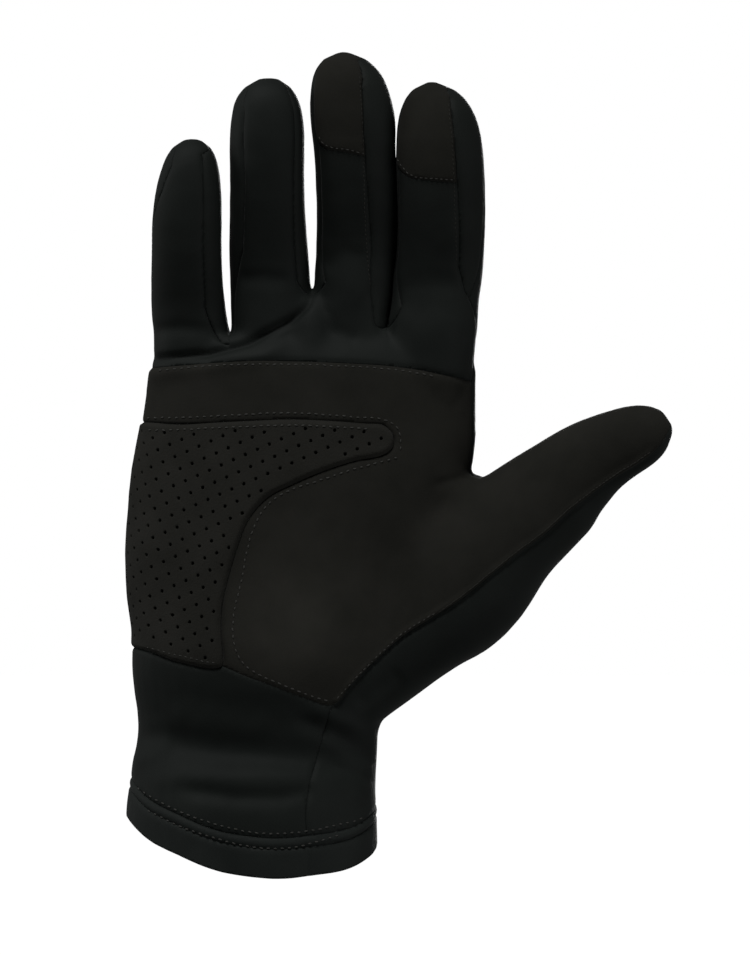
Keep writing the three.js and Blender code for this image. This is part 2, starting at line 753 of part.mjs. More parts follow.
// Skins to cut the panels from
const hollow = form(BODY_START - HOLLOW_OVERRUN, -WALL);
const skin = form(BODY_START, 0).subtract(hollow);
const padSkin = body(BODY_START, PAD_RISE).subtract(hollow);

const looks = {
  suede: { color: 0x151615, roughness: 0.95, metalness: 0 },
  stretch: { color: 0x121417, roughness: 0.75, metalness: 0 },
  pad: { color: 0x171817, roughness: 0.9, metalness: 0 },
};

// The surface of a cut solid, with the ends of every edge shorter than SHORT_EDGE joined
function surfaceOf(solid) {
  const mesh = solid.getMesh();
  const points = Array.from({ length: mesh.numVert }, (_, i) => (
    new THREE.Vector3().fromArray(mesh.vertProperties, 3 * i)
  ));
  const joinedTo = points.map((_, i) => i);
  const find = (i) => (joinedTo[i] === i ? i : find(joinedTo[i]));
  const triangles = Array.from({ length: mesh.numTri }, (_, i) => (
    Array.from(mesh.triVerts.slice(3 * i, 3 * i + 3))
  ));
  for (const corners of triangles) {
    corners.forEach((a, k) => {
      const b = corners[(k + 1) % 3];
      if (points[a].distanceTo(points[b]) < SHORT_EDGE) {
        joinedTo[find(a)] = find(b);
      }
    });
  }
  const kept = triangles.map((corners) => corners.map(find))
    .filter(([a, b, c]) => a !== b && b !== c && c !== a);
  return geometryOf(points, kept.flat());
}

function meshOf(name, solid, look) {
  const result = new THREE.Mesh(surfaceOf(solid), new THREE.MeshStandardMaterial(looks[look]));
  result.name = name;
  return result;
}

// A ring round the cuff between two heights
function cuffRing(from, to, outer, wall) {
  const inside = loft(bodyTube(from - HOLLOW_OVERRUN, to + HOLLOW_OVERRUN, outer - wall));
  return loft(bodyTube(from, to, outer)).subtract(inside);
}

const group = new THREE.Group();
group.add(meshOf('hem_band', cuffRing(0, HEM_HEIGHT, 0, HEM_WALL), 'stretch'));
const tunnelStart = HEM_HEIGHT + SEAM_GAP;
const tunnel = cuffRing(tunnelStart, tunnelStart + TUNNEL_HEIGHT, TUNNEL_RISE, HEM_WALL + TUNNEL_RISE);
group.add(meshOf('hem_tunnel', tunnel, 'stretch'));

// Panels in the order in which they are laid over each other
const panels = [
  { name: 'palm_pad', skin: padSkin, region: onPalmSide(padOutline), look: 'pad' },
  { name: 'index_touch_tip', skin, region: indexTip, look: 'suede' },
  { name: 'middle_touch_tip', skin, region: middleTip, look: 'suede' },
  { name: 'fourchette_index_middle', skin, region: fourchette(MIDDLE_INDEX), look: 'stretch' },
  { name: 'fourchette_middle_ring', skin, region: fourchette(RING_MIDDLE), look: 'stretch' },
  { name: 'fourchette_ring_little', skin, region: fourchette(LITTLE_RING), look: 'stretch' },
  { name: 'index_side_gusset', skin, region: strip(INDEX, true), look: 'stretch' },
  { name: 'little_side_gusset', skin, region: strip(LITTLE, false), look: 'stretch' },
  { name: 'finger_panel', skin, region: fingerFronts, look: 'stretch' },
  { name: 'palm_panel', skin, region: onPalmSide(palmOutline), look: 'suede' },
  { name: 'heel_panel', skin, region: onPalmSide(heelOutline), look: 'stretch' },
  {
    name: 'thumb_panel',
    skin,
    region: joined(onPalmSide(thumbFrontOutline), onBackSide(thumbBackOutline)),
    look: 'stretch',
  },
  { name: 'back_panel', skin, region: null, look: 'stretch' },
];
let taken = null;
for (const panel of panels) {
  let solid = panel.region ? panel.skin.intersect(panel.region(0)) : panel.skin;
  solid = taken ? solid.subtract(taken) : solid;
  if (panel.region) {
    const grownRegion = panel.region(SEAM_GAP);
    taken = taken ? taken.add(grownRegion) : grownRegion;
  }
  const [largest] = solid.simplify(CLEAN).decompose().sort((a, b) => b.volume() - a.volume());
  group.add(meshOf(panel.name, largest, panel.look));
}

export default group;
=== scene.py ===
# %% [markdown]
# # A full-finger cycling glove
# The glove is a thin sewn shell, filled out as if a hand were in it. It has a suede palm, a raised and
# perforated pad, stretch fabric on the fingers, strips between the fingers and a hemmed cuff. One closed
# form is made first, and the panels are cut out of it, because that is how their seams stay shared.

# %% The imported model
import math
import random

import bmesh
import bpy
import numpy as np
from mathutils import Matrix, Vector, noise
from mathutils.bvhtree import BVHTree


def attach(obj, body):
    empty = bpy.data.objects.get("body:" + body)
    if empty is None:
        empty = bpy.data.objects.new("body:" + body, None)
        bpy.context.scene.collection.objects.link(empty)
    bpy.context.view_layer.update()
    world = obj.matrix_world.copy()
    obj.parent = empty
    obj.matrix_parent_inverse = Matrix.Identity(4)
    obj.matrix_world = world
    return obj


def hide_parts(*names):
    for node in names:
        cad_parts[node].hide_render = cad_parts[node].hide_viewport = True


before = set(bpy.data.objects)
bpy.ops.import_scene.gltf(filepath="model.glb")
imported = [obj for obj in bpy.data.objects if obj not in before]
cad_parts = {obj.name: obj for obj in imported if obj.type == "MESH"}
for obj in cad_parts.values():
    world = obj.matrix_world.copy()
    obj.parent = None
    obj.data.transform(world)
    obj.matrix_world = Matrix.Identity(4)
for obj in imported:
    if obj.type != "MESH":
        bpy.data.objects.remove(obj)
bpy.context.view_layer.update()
print("nodes of the packed model:", len(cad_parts))

# %% [markdown]
# ## The view
# The palm faces the camera, which stands 0.9 m away and a little above the middle of the glove. Seams are
# drawn as they are seen from there, so the two functions below turn places on the glove into places in
# the view, and back. Lengths are in millimetres until a mesh is finished.

# %% Camera and view
MM = 0.001
AIM = np.array([35.7, 0.0, 104.5])
DISTANCE = 900.0
LIFT = math.radians(3)
VIEW_HEIGHT = 276.95
SENSOR = 36
FORWARD = np.array([0.0, math.cos(LIFT), -math.sin(LIFT)])
RIGHT = np.array([1.0, 0.0, 0.0])
UP = np.array([0.0, math.sin(LIFT), math.cos(LIFT)])
EYE = AIM - DISTANCE * FORWARD


def seen(points):
    """Where points appear in the view, as millimetres across and up at the glove's distance."""
    away = np.asarray(points, float) - EYE
    scale = DISTANCE / (away @ FORWARD)
    return AIM[0] + (away @ RIGHT) * scale, AIM[2] + (away @ UP) * scale


def sight(across, up):
    """The direction from the eye to a place in the view."""
    return DISTANCE * FORWARD + (across - AIM[0]) * RIGHT + (up - AIM[2]) * UP


def unseen(across, up, y):
    """The point at depth y that appears at a place in the view, and its scale there."""
    ray = sight(across, up)
    scale = (y - EYE[1]) / ray[1]
    return EYE + scale * ray, scale


camera_data = bpy.data.cameras.new("camera")
camera_data.sensor_width = SENSOR
camera_data.lens = SENSOR * DISTANCE / VIEW_HEIGHT
camera_data.clip_end = 20
camera = bpy.data.objects.new("camera", camera_data)
camera.location = Vector(EYE * MM)
camera.rotation_euler = (math.pi / 2 - LIFT, 0, 0)
bpy.context.scene.collection.objects.link(camera)
bpy.context.scene.camera = camera
print("camera at", [round(value, 3) for value in camera.location], "lens", round(camera_data.lens, 1))

# %% [markdown]
# ## The closed form
# The body, the webs, the fingers and the thumb are lofts: rings of a rounded section, bridged one after
# another. A spline through few measured rows gives the rings, so the outline stays smooth. A voxel
# remesh then joins the lofts into one skin, and smoothing softens the places where they meet.

# %% Rings and lofts
SQUARENESS = 2.25
RING_SIDES = 40
ROW_STEP = 2.5


def spline(rows, step=ROW_STEP):
    """More rows on a smooth curve through the given ones, which are spaced by their first two columns."""
    rows = np.array(rows, float)
    gaps = np.linalg.norm(np.diff(rows[:, :2], axis=0), axis=1)
    along = np.concatenate([[0], np.cumsum(gaps)])
    slopes = np.diff(rows, axis=0) / gaps[:, None]
    tangents = np.vstack([slopes[:1], (slopes[:-1] + slopes[1:]) / 2, slopes[-1:]])
    made = []
    for place in np.linspace(0, along[-1], max(2, round(along[-1] / step) + 1)):
        i = min(len(gaps) - 1, int(np.searchsorted(along, place, side="right")) - 1)
        t = (place - along[i]) / gaps[i]
        a, b = tangents[i] * gaps[i], tangents[i + 1] * gaps[i]
        made.append(
            (2 * t**3 - 3 * t**2 + 1) * rows[i] + (t**3 - 2 * t**2 + t) * a
            + (3 * t**2 - 2 * t**3) * rows[i + 1] + (t**3 - t**2) * b
        )
    return np.array(made)


def at(rows, place, column=1):
    """A column of a table, read between its rows at places in its first column."""
    rows = np.array(rows, float)
    return np.interp(place, rows[:, 0], rows[:, column])


def squared(value):
    return math.copysign(abs(value) ** (2 / SQUARENESS), value)


def ring(bm, centre, side, half, front, back, capped):
    made = bmesh.ops.create_circle(bm, segments=RING_SIDES, radius=1, cap_ends=capped)["verts"]
    for vert in made:
        depth = front if vert.co.y < 0 else back
        reach = Vector(side) * half * squared(vert.co.x)
        vert.co = Vector(centre) + reach + Vector((0, depth * squared(vert.co.y), 0))
    kept = set(made)
    return [edge for edge in {e for v in made for e in v.link_edges} if set(edge.verts) <= kept]


def loft(bm, sections):
    """Bridges rings given as (centre, side, half, front, back)."""
    last = None
    for i, section in enumerate(sections):
        edges = ring(bm, *section, capped=i in (0, len(sections) - 1))
        if last:
            bmesh.ops.bridge_loops(bm, edges=last + edges)
        last = edges


# %% [markdown]
# ## Rows of the body, the fingers and the thumb
# Each row gives a height and how far the form reaches there. The fingers' rows are as they are seen, and
# `unseen` puts them back at their real depth.

# %% Measured rows
# Height, left edge, right edge, depth of the palm side and of the back
BODY_ROWS = [
    (-18, -36.8, 36.4, 25.4, 25.4), (0, -37, 36.4, 25.2, 25.2), (8, -36.8, 36.2, 25, 25),
    (12, -36.3, 36, 24.5, 24.7), (16, -35.7, 36, 23.7, 24.4), (20.5, -35, 36.3, 22.6, 24),
    (25.5, -34, 36.5, 20.7, 23.5), (30.7, -33.3, 36.8, 19.2, 23.2), (34, -33.3, 38, 18.9, 22.9),
    (37, -33.5, 39.6, 19.1, 22.6), (41, -34.2, 40.4, 19.9, 22.4), (46, -34.8, 41, 21.2, 22.1),
    (51, -35, 41.5, 22.3, 21.8), (56, -34.8, 42.5, 22.7, 21.5), (60, -34.7, 44, 22.5, 21.2),
    (68, -35.8, 46.5, 21.4, 20.6), (77, -36.4, 51, 20.2, 20), (86, -36.4, 55, 19.3, 19.5),
    (95, -35.7, 59.3, 18.5, 18.9), (104, -34.9, 63, 17.6, 18.3), (112, -33.6, 64.6, 16.8, 17.8),
    (121, -31.8, 64.8, 15.8, 16.7), (129, -30.6, 64.9, 14.9, 15.6), (136, -29.6, 65, 14.2, 14.6),
    (140, -28.7, 64.8, 13.2, 13.4), (143.5, -27.8, 63.6, 11.4, 11.6), (146, -26, 61, 8.6, 8.8),
]
# Height, middle and half width of each finger as seen, from the root to the tip
FINGERS = {
    "little": [
        (122, -17, 8.7), (136, -17.5, 10.6), (145.9, -17.6, 11), (155.7, -18.5, 10.7),
        (167.3, -18.9, 10.2), (178.9, -18.8, 10.1), (185.9, -18.5, 9.7), (190.5, -18.2, 9.1),
        (195.2, -17.8, 8), (199.2, -17.4, 6.3), (201.4, -17.3, 4.3), (202.6, -17.2, 2.2),
    ],
    "ring": [
        (122, 6, 9.5), (140, 5.8, 11.2), (150, 5.6, 11.6), (160.4, 5.4, 11.7), (167.3, 5, 11.5),
        (178.9, 4.6, 11.1), (190.5, 4.4, 10.8), (202.1, 4.4, 10.9), (209.1, 4.45, 10.4),
        (213.7, 4.4, 9.3), (216.6, 4.6, 7.7), (218.9, 4.8, 5.2), (220.2, 4.9, 2.6),
    ],
    "middle": [
        (122, 29, 9.7), (140, 28.8, 11), (152, 29.2, 11.4), (162.7, 29.9, 11.8),
        (169.7, 30.6, 12), (178.9, 30.8, 12.1), (197.5, 30.2, 12.1), (204.5, 29.6, 12.3),
        (209.1, 29.2, 12.3), (213.7, 28.7, 11.9), (218.4, 28.1, 11), (221.6, 27.6, 9.7),
        (224.4, 27.1, 7.6), (226.8, 26.8, 4.6), (228, 26.6, 1.2),
    ],
    "index": [
        (122, 51, 10.8), (136, 51.2, 12.9), (148.8, 52, 13.5), (155.7, 52.9, 13),
        (162.7, 53.6, 13.2), (169.7, 54.3, 13.1), (178.9, 54.7, 13.1), (197.5, 54.2, 13),
        (204.5, 54.1, 12.3), (209.1, 53.8, 11.2), (213.2, 53.3, 9.4), (216, 52.8, 7.3),
        (218.2, 52.3, 4.3), (219.3, 52.1, 1.2),
    ],
}
FINGER_NAMES = list(FINGERS)
# Height of the crease where each finger starts to bend
CREASES = {"little": 148.2, "ring": 161.0, "middle": 168.0, "index": 160.0}
# Share of the length over the crease, how far the finger leans to the palm, its depth for its width
FINGER_BEND = [
    (-0.6, 0, 0.93), (-0.2, 0.6, 0.96), (0, 0.3, 0.94), (0.1, -1.7, 0.9), (0.25, -5.6, 0.86),
    (0.4, -8.8, 0.84), (0.55, -11, 0.83), (0.7, -12.2, 0.83), (0.85, -12.6, 0.85), (1, -12.2, 0.9),
]
# Across, up and half width of the thumb as seen, then its half depth
THUMB_ROWS = [
    (24, 36, 9.5, 13), (36, 47, 11.4, 15), (48, 60, 15.4, 16.2), (55, 67.8, 18.9, 16.8),
    (62, 75.6, 19.8, 16.8), (73.5, 88, 17.3, 15.8), (83.4, 96.6, 15.8, 14), (87.6, 100.2, 15.2, 13.2),
    (91.1, 103.6, 13.9, 12.4), (98.1, 109.3, 12, 11.2), (105.2, 113.4, 10.6, 10.2), (111, 116, 9.7, 9.4),
    (115.5, 117.5, 8.3, 8.2), (118.8, 118.2, 6.3, 6.2), (121, 118.5, 3.8, 3.8), (122, 118.5, 1, 1),
]
THUMB_ROOT = 24
THUMB_REACH = 97.5
THUMB_FORWARD = 22
# Middle and top of the web between each pair of fingers
WEBS = [(-6.7, 143.6), (17.3, 158.6), (37.9, 148.6)]
# Depth of a web for its height under its top
WEB_ROWS = [(28, 11), (16, 12.5), (9, 11.5), (4.5, 9.6), (1.8, 7.4), (0.4, 4.6), (0, 2.4)]
WEB_HALF = 8
# Middle, top, half width and depth of the web between the thumb and the index finger
THUMB_WEB = (62, 105.4, 5.5, -2)
SIDEWAYS = (1, 0, 0)


def thumb_depth(across):
    share = np.maximum(0, (np.asarray(across, float) - THUMB_ROOT) / THUMB_REACH)
    return -THUMB_FORWARD * share**2


def finger_sections(name):
    """Centre, half width and half depth of a finger at its real place."""
    made = []
    rows = FINGERS[name]
    for up, across, half in spline(rows):
        share = (up - CREASES[name]) / (rows[-1][0] - CREASES[name])
        centre, scale = unseen(across, up, at(FINGER_BEND, share))
        made.append((*centre, half * scale, half * scale * at(FINGER_BEND, share, 2)))
    return np.array(made)


SECTIONS = {name: finger_sections(name) for name in FINGERS}
print({name: len(rows) for name, rows in SECTIONS.items()})

# %% [markdown]
# ## Room between the fingers
# The fingers nearly touch, and a remesh would melt them together. So they are spread by a millimetre or
# two before it and closed again after it. `opening` is how far each place moves, and `closed` undoes it.

# %% Spread fingers
SPREAD = np.array([1.5, 0.8, 2.6])
SPREAD_FROM = (134.0, 146.0)
# Each gap closes over this many times its width
CLOSING = 1.5
SHIFTS = np.cumsum([0, *SPREAD]) - SPREAD[0] - SPREAD[1] / 2


def eased(value):
    value = np.clip(value, 0, 1)
    return value * value * (3 - 2 * value)


def opened(z):
    return eased((z - SPREAD_FROM[0]) / (SPREAD_FROM[1] - SPREAD_FROM[0]))


def closed(x, z):
    """Where x goes when the spread fingers close up again."""
    moved = np.full(len(x), SHIFTS[0])
    for i, width in enumerate(SPREAD):
        low, high = SECTIONS[FINGER_NAMES[i]], SECTIONS[FINGER_NAMES[i + 1]]
        left_wall = np.interp(z, low[:, 2], low[:, 0] + low[:, 3])
        right_wall = np.interp(z, high[:, 2], high[:, 0] - high[:, 3])
        middle = (left_wall + right_wall + opened(z) * (SHIFTS[i] + SHIFTS[i + 1])) / 2
        moved += width * eased((x - middle) / (CLOSING * width) + 0.5)
    return x - opened(z) * moved


form = bmesh.new()
loft(form, [
    (((left + right) / 2, 0, z), SIDEWAYS, (right - left) / 2, front, back)
    for z, left, right, front, back in spline(BODY_ROWS)
])
for sections, offset in zip(SECTIONS.values(), SHIFTS):
    loft(form, [
        ((x + offset * opened(z), y, z), SIDEWAYS, half, depth, depth) for x, y, z, half, depth in sections
    ])
for (across, top), offset in zip(WEBS, (SHIFTS[:-1] + SHIFTS[1:]) / 2):
    loft(form, [
        ((across + offset, 0, top - under), SIDEWAYS, WEB_HALF, depth, depth) for under, depth in WEB_ROWS
    ])
across, top, half, y = THUMB_WEB
loft(form, [((across, y, top - under), SIDEWAYS, half, depth, depth) for under, depth in WEB_ROWS])
thumb = spline(THUMB_ROWS)
ways = np.gradient(thumb[:, :2], axis=0)
ways /= np.linalg.norm(ways, axis=1)[:, None]
thumb_sections = []
for (across, up, half, depth), way in zip(thumb, ways):
    centre, scale = unseen(across, up, float(thumb_depth(across)))
    thumb_sections.append((centre, (way[1], 0, -way[0]), half * scale, depth, depth))
loft(form, thumb_sections)
bmesh.ops.recalc_face_normals(form, faces=form.faces)
print("lofted form:", len(form.faces), "faces")

# %% [markdown]
# ## One skin
# So far the lofts only pass through each other. A voxel remesh makes one closed skin of them, and its
# voxels are small enough for seams and small folds. Joining the lofts by hand would take far longer.

# %% Join the lofts with a remesh
VOXEL = 0.8


def object_of(bm, name):
    """A new object holding a copy of a bmesh, in metres."""
    mesh = bpy.data.meshes.new(name)
    bm.to_mesh(mesh)
    mesh.transform(Matrix.Scale(MM, 4))
    made = bpy.data.objects.new(name, mesh)
    bpy.context.scene.collection.objects.link(made)
    return made


def applied(obj):
    """The object's mesh with its modifiers, as a bmesh in millimetres. The object is removed."""
    bpy.context.view_layer.update()
    evaluated = obj.evaluated_get(bpy.context.evaluated_depsgraph_get())
    bm = bmesh.new()
    bm.from_mesh(evaluated.to_mesh())
    evaluated.to_mesh_clear()
    bpy.data.objects.remove(obj)
    bmesh.ops.scale(bm, vec=(1 / MM,) * 3, verts=bm.verts)
    return bm


lofted = object_of(form, "lofted_form")
form.free()
remesh = lofted.modifiers.new("one_skin", "REMESH")
remesh.mode = "VOXEL"
remesh.voxel_size = VOXEL * MM
skin = applied(lofted)
print("one skin:", len(skin.verts), "points")

# %% [markdown]
# ## Softer joins
# Real cloth spans the hollows between the fingers and under the thumb. Rounds of smoothing, each kept to
# its own region, do the same. The ball of the thumb fills the valley between the palm and the thumb, which
# a Smooth modifier with a weight for each point does more evenly than smoothing alone.

# %% Soften the joins
SMOOTHING = 0.5
CROTCH_DROP = 4
CROTCH_REACH = 9
THUMB_CROTCH = (64, 104)
UNDER_RING_MIDDLE = (20, 147)
UNDER_DEPTH = -6
# Lowest and highest place of the fingers' roots, and how far they start from the middle plane
FINGER_ROOTS = (134, 158, 8.5)
# Left, right and highest place of the thumb's ball, and how far it starts from the middle plane
THUMB_BALL = (18, 84, 112, 8)
VALLEY = [(66, 106), (58, 92), (48, 72), (36, 52)]
VALLEY_WIDTH = 15
VALLEY_ROUNDS = 320
VALLEY_STEPS = 10
# The filling starts this far before the middle plane, and is full so much further on
VALLEY_FRONT = (5, 6)


def line_place(across, up, line):
    """Distance to a line in the view, and how far along it the nearest place is, from 0 to 1."""
    line = np.array(line, float)
    lengths = np.linalg.norm(np.diff(line, axis=0), axis=1)
    starts = np.concatenate([[0], np.cumsum(lengths)])
    best = np.full(len(across), np.inf)
    share = np.zeros(len(across))
    for a, b, start, length in zip(line[:-1], line[1:], starts, lengths):
        way = (b - a) / length
        t = np.clip((across - a[0]) * way[0] + (up - a[1]) * way[1], 0, length)
        away = np.hypot(across - a[0] - t * way[0], up - a[1] - t * way[1])
        closer = away < best
        best = np.where(closer, away, best)
        share = np.where(closer, (start + t) / starts[-1], share)
    return best, share


def coords(bm):
    return np.array([vert.co[:] for vert in bm.verts])


def smooth(bm, times, where=None):
    """Rounds of smoothing, over the whole mesh or at the points that are flagged."""
    verts = bm.verts[:] if where is None else [vert for vert, wanted in zip(bm.verts, where) if wanted]
    for _ in range(times):
        bmesh.ops.smooth_vert(
            bm, verts=verts, factor=SMOOTHING, use_axis_x=True, use_axis_y=True, use_axis_z=True
        )


def near_to(places, across, up):
    return np.hypot(places[:, 0] - across, places[:, 2] - up) < CROTCH_REACH


smooth(skin, 3)
places = coords(skin)
for vert, x in zip(skin.verts, closed(places[:, 0], places[:, 2])):
    vert.co.x = x
places = coords(skin)
near_crotch = near_to(places, *THUMB_CROTCH)
for across, top in WEBS:
    near_crotch |= near_to(places, across, top - CROTCH_DROP)
smooth(skin, 5, near_crotch)
x, y, z = coords(skin).T
low, high, off_middle = FINGER_ROOTS
roots = (z > low) & (z < high) & (np.abs(y) > off_middle)
left, right, top, off_middle = THUMB_BALL
ball = (z < top) & (x > left) & (x < right) & (np.abs(y) > off_middle)
smooth(skin, 10, roots | ball)

places = coords(skin)
away, _ = line_place(places[:, 0], places[:, 2], VALLEY)
weights = np.exp(-((away / VALLEY_WIDTH) ** 4))
weights *= eased((-places[:, 1] - VALLEY_FRONT[0]) / VALLEY_FRONT[1])
filled = object_of(skin, "valley")
skin.free()
group = filled.vertex_groups.new(name="valley")
steps = np.round(weights * VALLEY_STEPS).astype(int)
for step in range(1, VALLEY_STEPS + 1):
    group.add(np.nonzero(steps == step)[0].tolist(), step / VALLEY_STEPS, "REPLACE")
fill = filled.modifiers.new("fill", "SMOOTH")
fill.factor = SMOOTHING
fill.iterations = VALLEY_ROUNDS
fill.vertex_group = "valley"
skin = applied(filled)
print("valley filled over", int((steps > 0).sum()), "points")
places = coords(skin)
smooth(skin, 14, near_to(places, *UNDER_RING_MIDDLE) & (places[:, 1] < UNDER_DEPTH))

# %% [markdown]
# ## Folds
# The cloth creases where the fingers bend, across the wrist and at the foot of the thumb. Each fold is a
# line in the view with a depth and a width, and the skin moves along its own normals near that line.

# %% Folds and slack
# Line as seen, movement outwards, and its width
FOLDS = [
    ([(-35, 138.2), (-12.8, 140.4), (-0.6, 143.8), (11, 149.8), (16.5, 155), (17.9, 160)], -1.8, 1.1),
    ([(-33, 134), (-10.7, 136.6), (2.9, 139.8), (12.5, 145)], 0.8, 2.4),
    ([(-32, 146.6), (-20.9, 147.8), (-8, 146.6)], -0.6, 2.0),
    ([(-4.5, 161.6), (2.9, 162.6), (11.5, 161.4)], -0.5, 2.2),
    ([(20.3, 165), (27, 170.2), (33, 167.6)], -0.4, 2.6),
    ([(22, 152), (29, 158), (33, 156)], 0.5, 4.5),
    ([(20, 148), (26, 146.5), (31, 144)], -0.4, 2.0),
    ([(44, 161), (52, 162), (60, 160)], -0.3, 3.0),
    ([(44, 146), (54, 149), (62, 148)], 0.4, 5.0),
    ([(70, 105.4), (60, 104.3), (52, 102)], -0.5, 1.2),
    ([(-34, 28.5), (-12.2, 25.6), (5.2, 24.2), (20, 22.6), (33, 19)], -2.4, 4.6),
    ([(-27, 37), (-10, 34), (8, 31.5)], 0.5, 4.5),
    ([(-42, 20), (-35, 22.5), (-27, 26), (-22, 28)], 1.1, 3.2),
    ([(-34, 17), (-15.1, 17), (2.3, 17.8), (18, 19)], 0.3, 3.0),
    ([(-23, 14.6), (-4.9, 11.8), (8.1, 11.8), (20, 14)], -1.1, 2.5),
    ([(12, 35), (26, 29), (31.3, 25.4), (42, 18)], -0.9, 2.3),
    ([(16, 38), (29, 33), (42, 25)], 0.5, 2.3),
    ([(22, 21.4), (31, 18.6), (40, 14.6)], -0.5, 1.6),
    ([(-26, 46), (-10, 43), (6, 41)], 0.3, 4.5),
    ([(30, 38), (44, 48)], -0.6, 3.0),
]
BACK_FOLDS = [
    ([(-30, 29), (0, 26), (34, 30)], -1.0, 3.6),
    ([(-30, 20), (4, 18), (34, 21)], 0.6, 3.4),
    ([(40, 44), (58, 62), (70, 78)], -0.7, 5.0),
    ([(-28, 140), (20, 145), (62, 139)], 0.6, 5.0),
    ([(-30, 36), (-6, 38), (30, 36)], -0.5, 3.0),
]
# Skin that faces away from a fold's side is left alone, and a fold fades towards its ends
FACING_GAIN = 1.6
FACING_EDGE = 0.1
FADE_GAIN = 2
FADE_LEAST = 0.05
# Cloth is never quite even: how far it wanders, and the size and share of each wave
SLACK = 0.16
SLACK_WAVES = [(14, 1), (5, 0.5)]


def shift(bm, distances):
    """Moves every point along its normal."""
    bm.normal_update()
    for vert, distance in zip(bm.verts, distances):
        vert.co += vert.normal * distance


skin.normal_update()
facing = np.array([vert.normal.y for vert in skin.verts])
places = coords(skin)
across, up = seen(places)
moves = np.zeros(len(places))
for folds, side in ((FOLDS, -1), (BACK_FOLDS, 1)):
    turned = np.clip(facing * side * FACING_GAIN + FACING_EDGE, 0, 1)
    for line, depth, width in folds:
        away, share = line_place(across, up, line)
        fade = np.minimum(1, FADE_GAIN * np.sin(np.pi * np.clip(share, 0, 1)) + FADE_LEAST)
        moves += depth * fade * turned * np.exp(-((away / width) ** 2))
slack = [sum(part * noise.noise(Vector(place) / size) for size, part in SLACK_WAVES) for place in places]
shift(skin, moves + SLACK * np.array(slack))
smooth(skin, 1)
print("folds:", len(FOLDS) + len(BACK_FOLDS))

# %% [markdown]
# ## Seams as fields
# A seam is the zero line of a number that changes across the skin: negative on one side and positive on
# the other, in millimetres. The skin is cut along each zero line, so a seam runs smoothly between the
# points of the mesh. The same numbers later say which panel a face belongs to.

# %% Lines of the seams, as seen
SEAM_STEP = 1.0
PAD_STEP = 0.7
KNUCKLE_SEAM = spline([
    (-60, 136.3), (-34, 136.4), (-27.3, 136.6), (-12, 137.9), (-0.6, 138.3), (12, 138.3),
    (25.5, 137.8), (42.9, 136.6), (53.6, 134.6), (64.7, 132.2), (80, 128),
], SEAM_STEP)
PAD_EDGE = spline([
    (-60, 120.6), (-31.4, 120.6), (-21.2, 119.9), (-10, 120.5), (0, 121), (11, 121.4), (22, 121),
    (32.8, 120.2), (38.2, 119.7), (41, 117), (41, 113.4), (38.4, 111.2), (30.2, 109.4), (20.6, 106.3),
    (12.4, 102.8), (4.6, 98.7), (-0.8, 92.6), (-4.1, 84.4), (-6.8, 75.4), (-8.6, 67.3), (-8.9, 58.3),
    (-8.4, 53.6),
], PAD_STEP)
PAD_FOOT = spline([(-8.4, 53.6), (-8.6, 49.8), (-21.2, 50.8), (-30.7, 54.2), (-60, 60)], SEAM_STEP)
PALM_EDGE = spline([
    (-80, 63), (-45, 60.5), (-30.7, 55.6), (-21.2, 52.2), (-13, 51), (-8.4, 49.6), (-2.3, 47), (5.5, 44.1),
    (14.2, 40.9), (23.5, 38.4), (28.7, 44.2), (35.4, 51), (43.5, 58.3), (53.1, 64.4), (61.2, 69.6),
    (68.7, 75.7), (76.8, 82.2), (85, 88.2), (92.2, 94.8), (98.9, 100), (105.6, 104.7), (112.2, 108.7),
    (117.4, 112.8), (120.8, 117.7), (124, 126),
], SEAM_STEP)
# The palm's lower corner, and what turns height over its edge into distance on both sides of it
PALM_CORNER = 23.5
PALM_SLOPES = (0.95, 0.74)
BACK_SEAM_SLOPE = 0.8
# Up first, then across
CUFF_SEAM = [(-30, 16.2), (-9, 16.2), (-3.5, 16.1), (4.9, 15.7), (11, 15.9), (17.1, 17.1), (27.8, 20.4),
             (32.8, 21.5), (38.6, 23.6), (60, 23.6)]
BACK_THUMB_SEAM = [(-30, 24), (28, 24.5), (45, 27), (62.6, 34), (84, 50), (105, 67), (140, 67)]
PATCH_LINES = {
    "middle": [(16, 212), (18, 205), (19.4, 201.4), (21.6, 199.6), (27, 198.9), (33.3, 197.5), (40, 196)],
    "index": [(38, 200), (41.8, 195.6), (43.5, 193), (45.8, 191.4), (53.1, 190.4), (59.7, 189.9), (66, 189)],
}
# Side seams of the fingers: height, then the angles of the front and the back seam. Angles run from the
# thumb side (0) over the palm side (90) to the little-finger side (180).
RIGHT_SEAMS = {
    "little": [(142, 60, 0), (146, 60, -8), (150, 64, -15), (156, 60, -15), (173, 59, -15),
               (190, 60, -15), (197, 60, -15), (200.6, -14, -15)],
    "ring": [(156, 47, 0), (160, 47.5, -8), (164, 47.5, -15), (173, 47.5, -15), (195, 43, -15),
             (209, 40, -15), (215.5, 38, -15), (218.4, -14, -15)],
    "middle": [(146, 50, 0), (149.6, 55, -8), (157, 64.3, -15), (168, 70, -15), (181, 75, -15),
               (192.6, 77.6, -15), (204, 77, -15), (215, 72, -15), (223.3, 58, -15), (225.8, -14, -15)],
    "index": [(137, 0, 0), (145, 5, 5), (150, 16, 16), (156, 42, 42), (158.5, 52, 38), (165, 64, 27),
              (179, 67, 18), (190, 69, 11), (205, 70.5, -1), (210, 68, -8), (215, 57, -13),
              (217.4, -14, -15)],
}
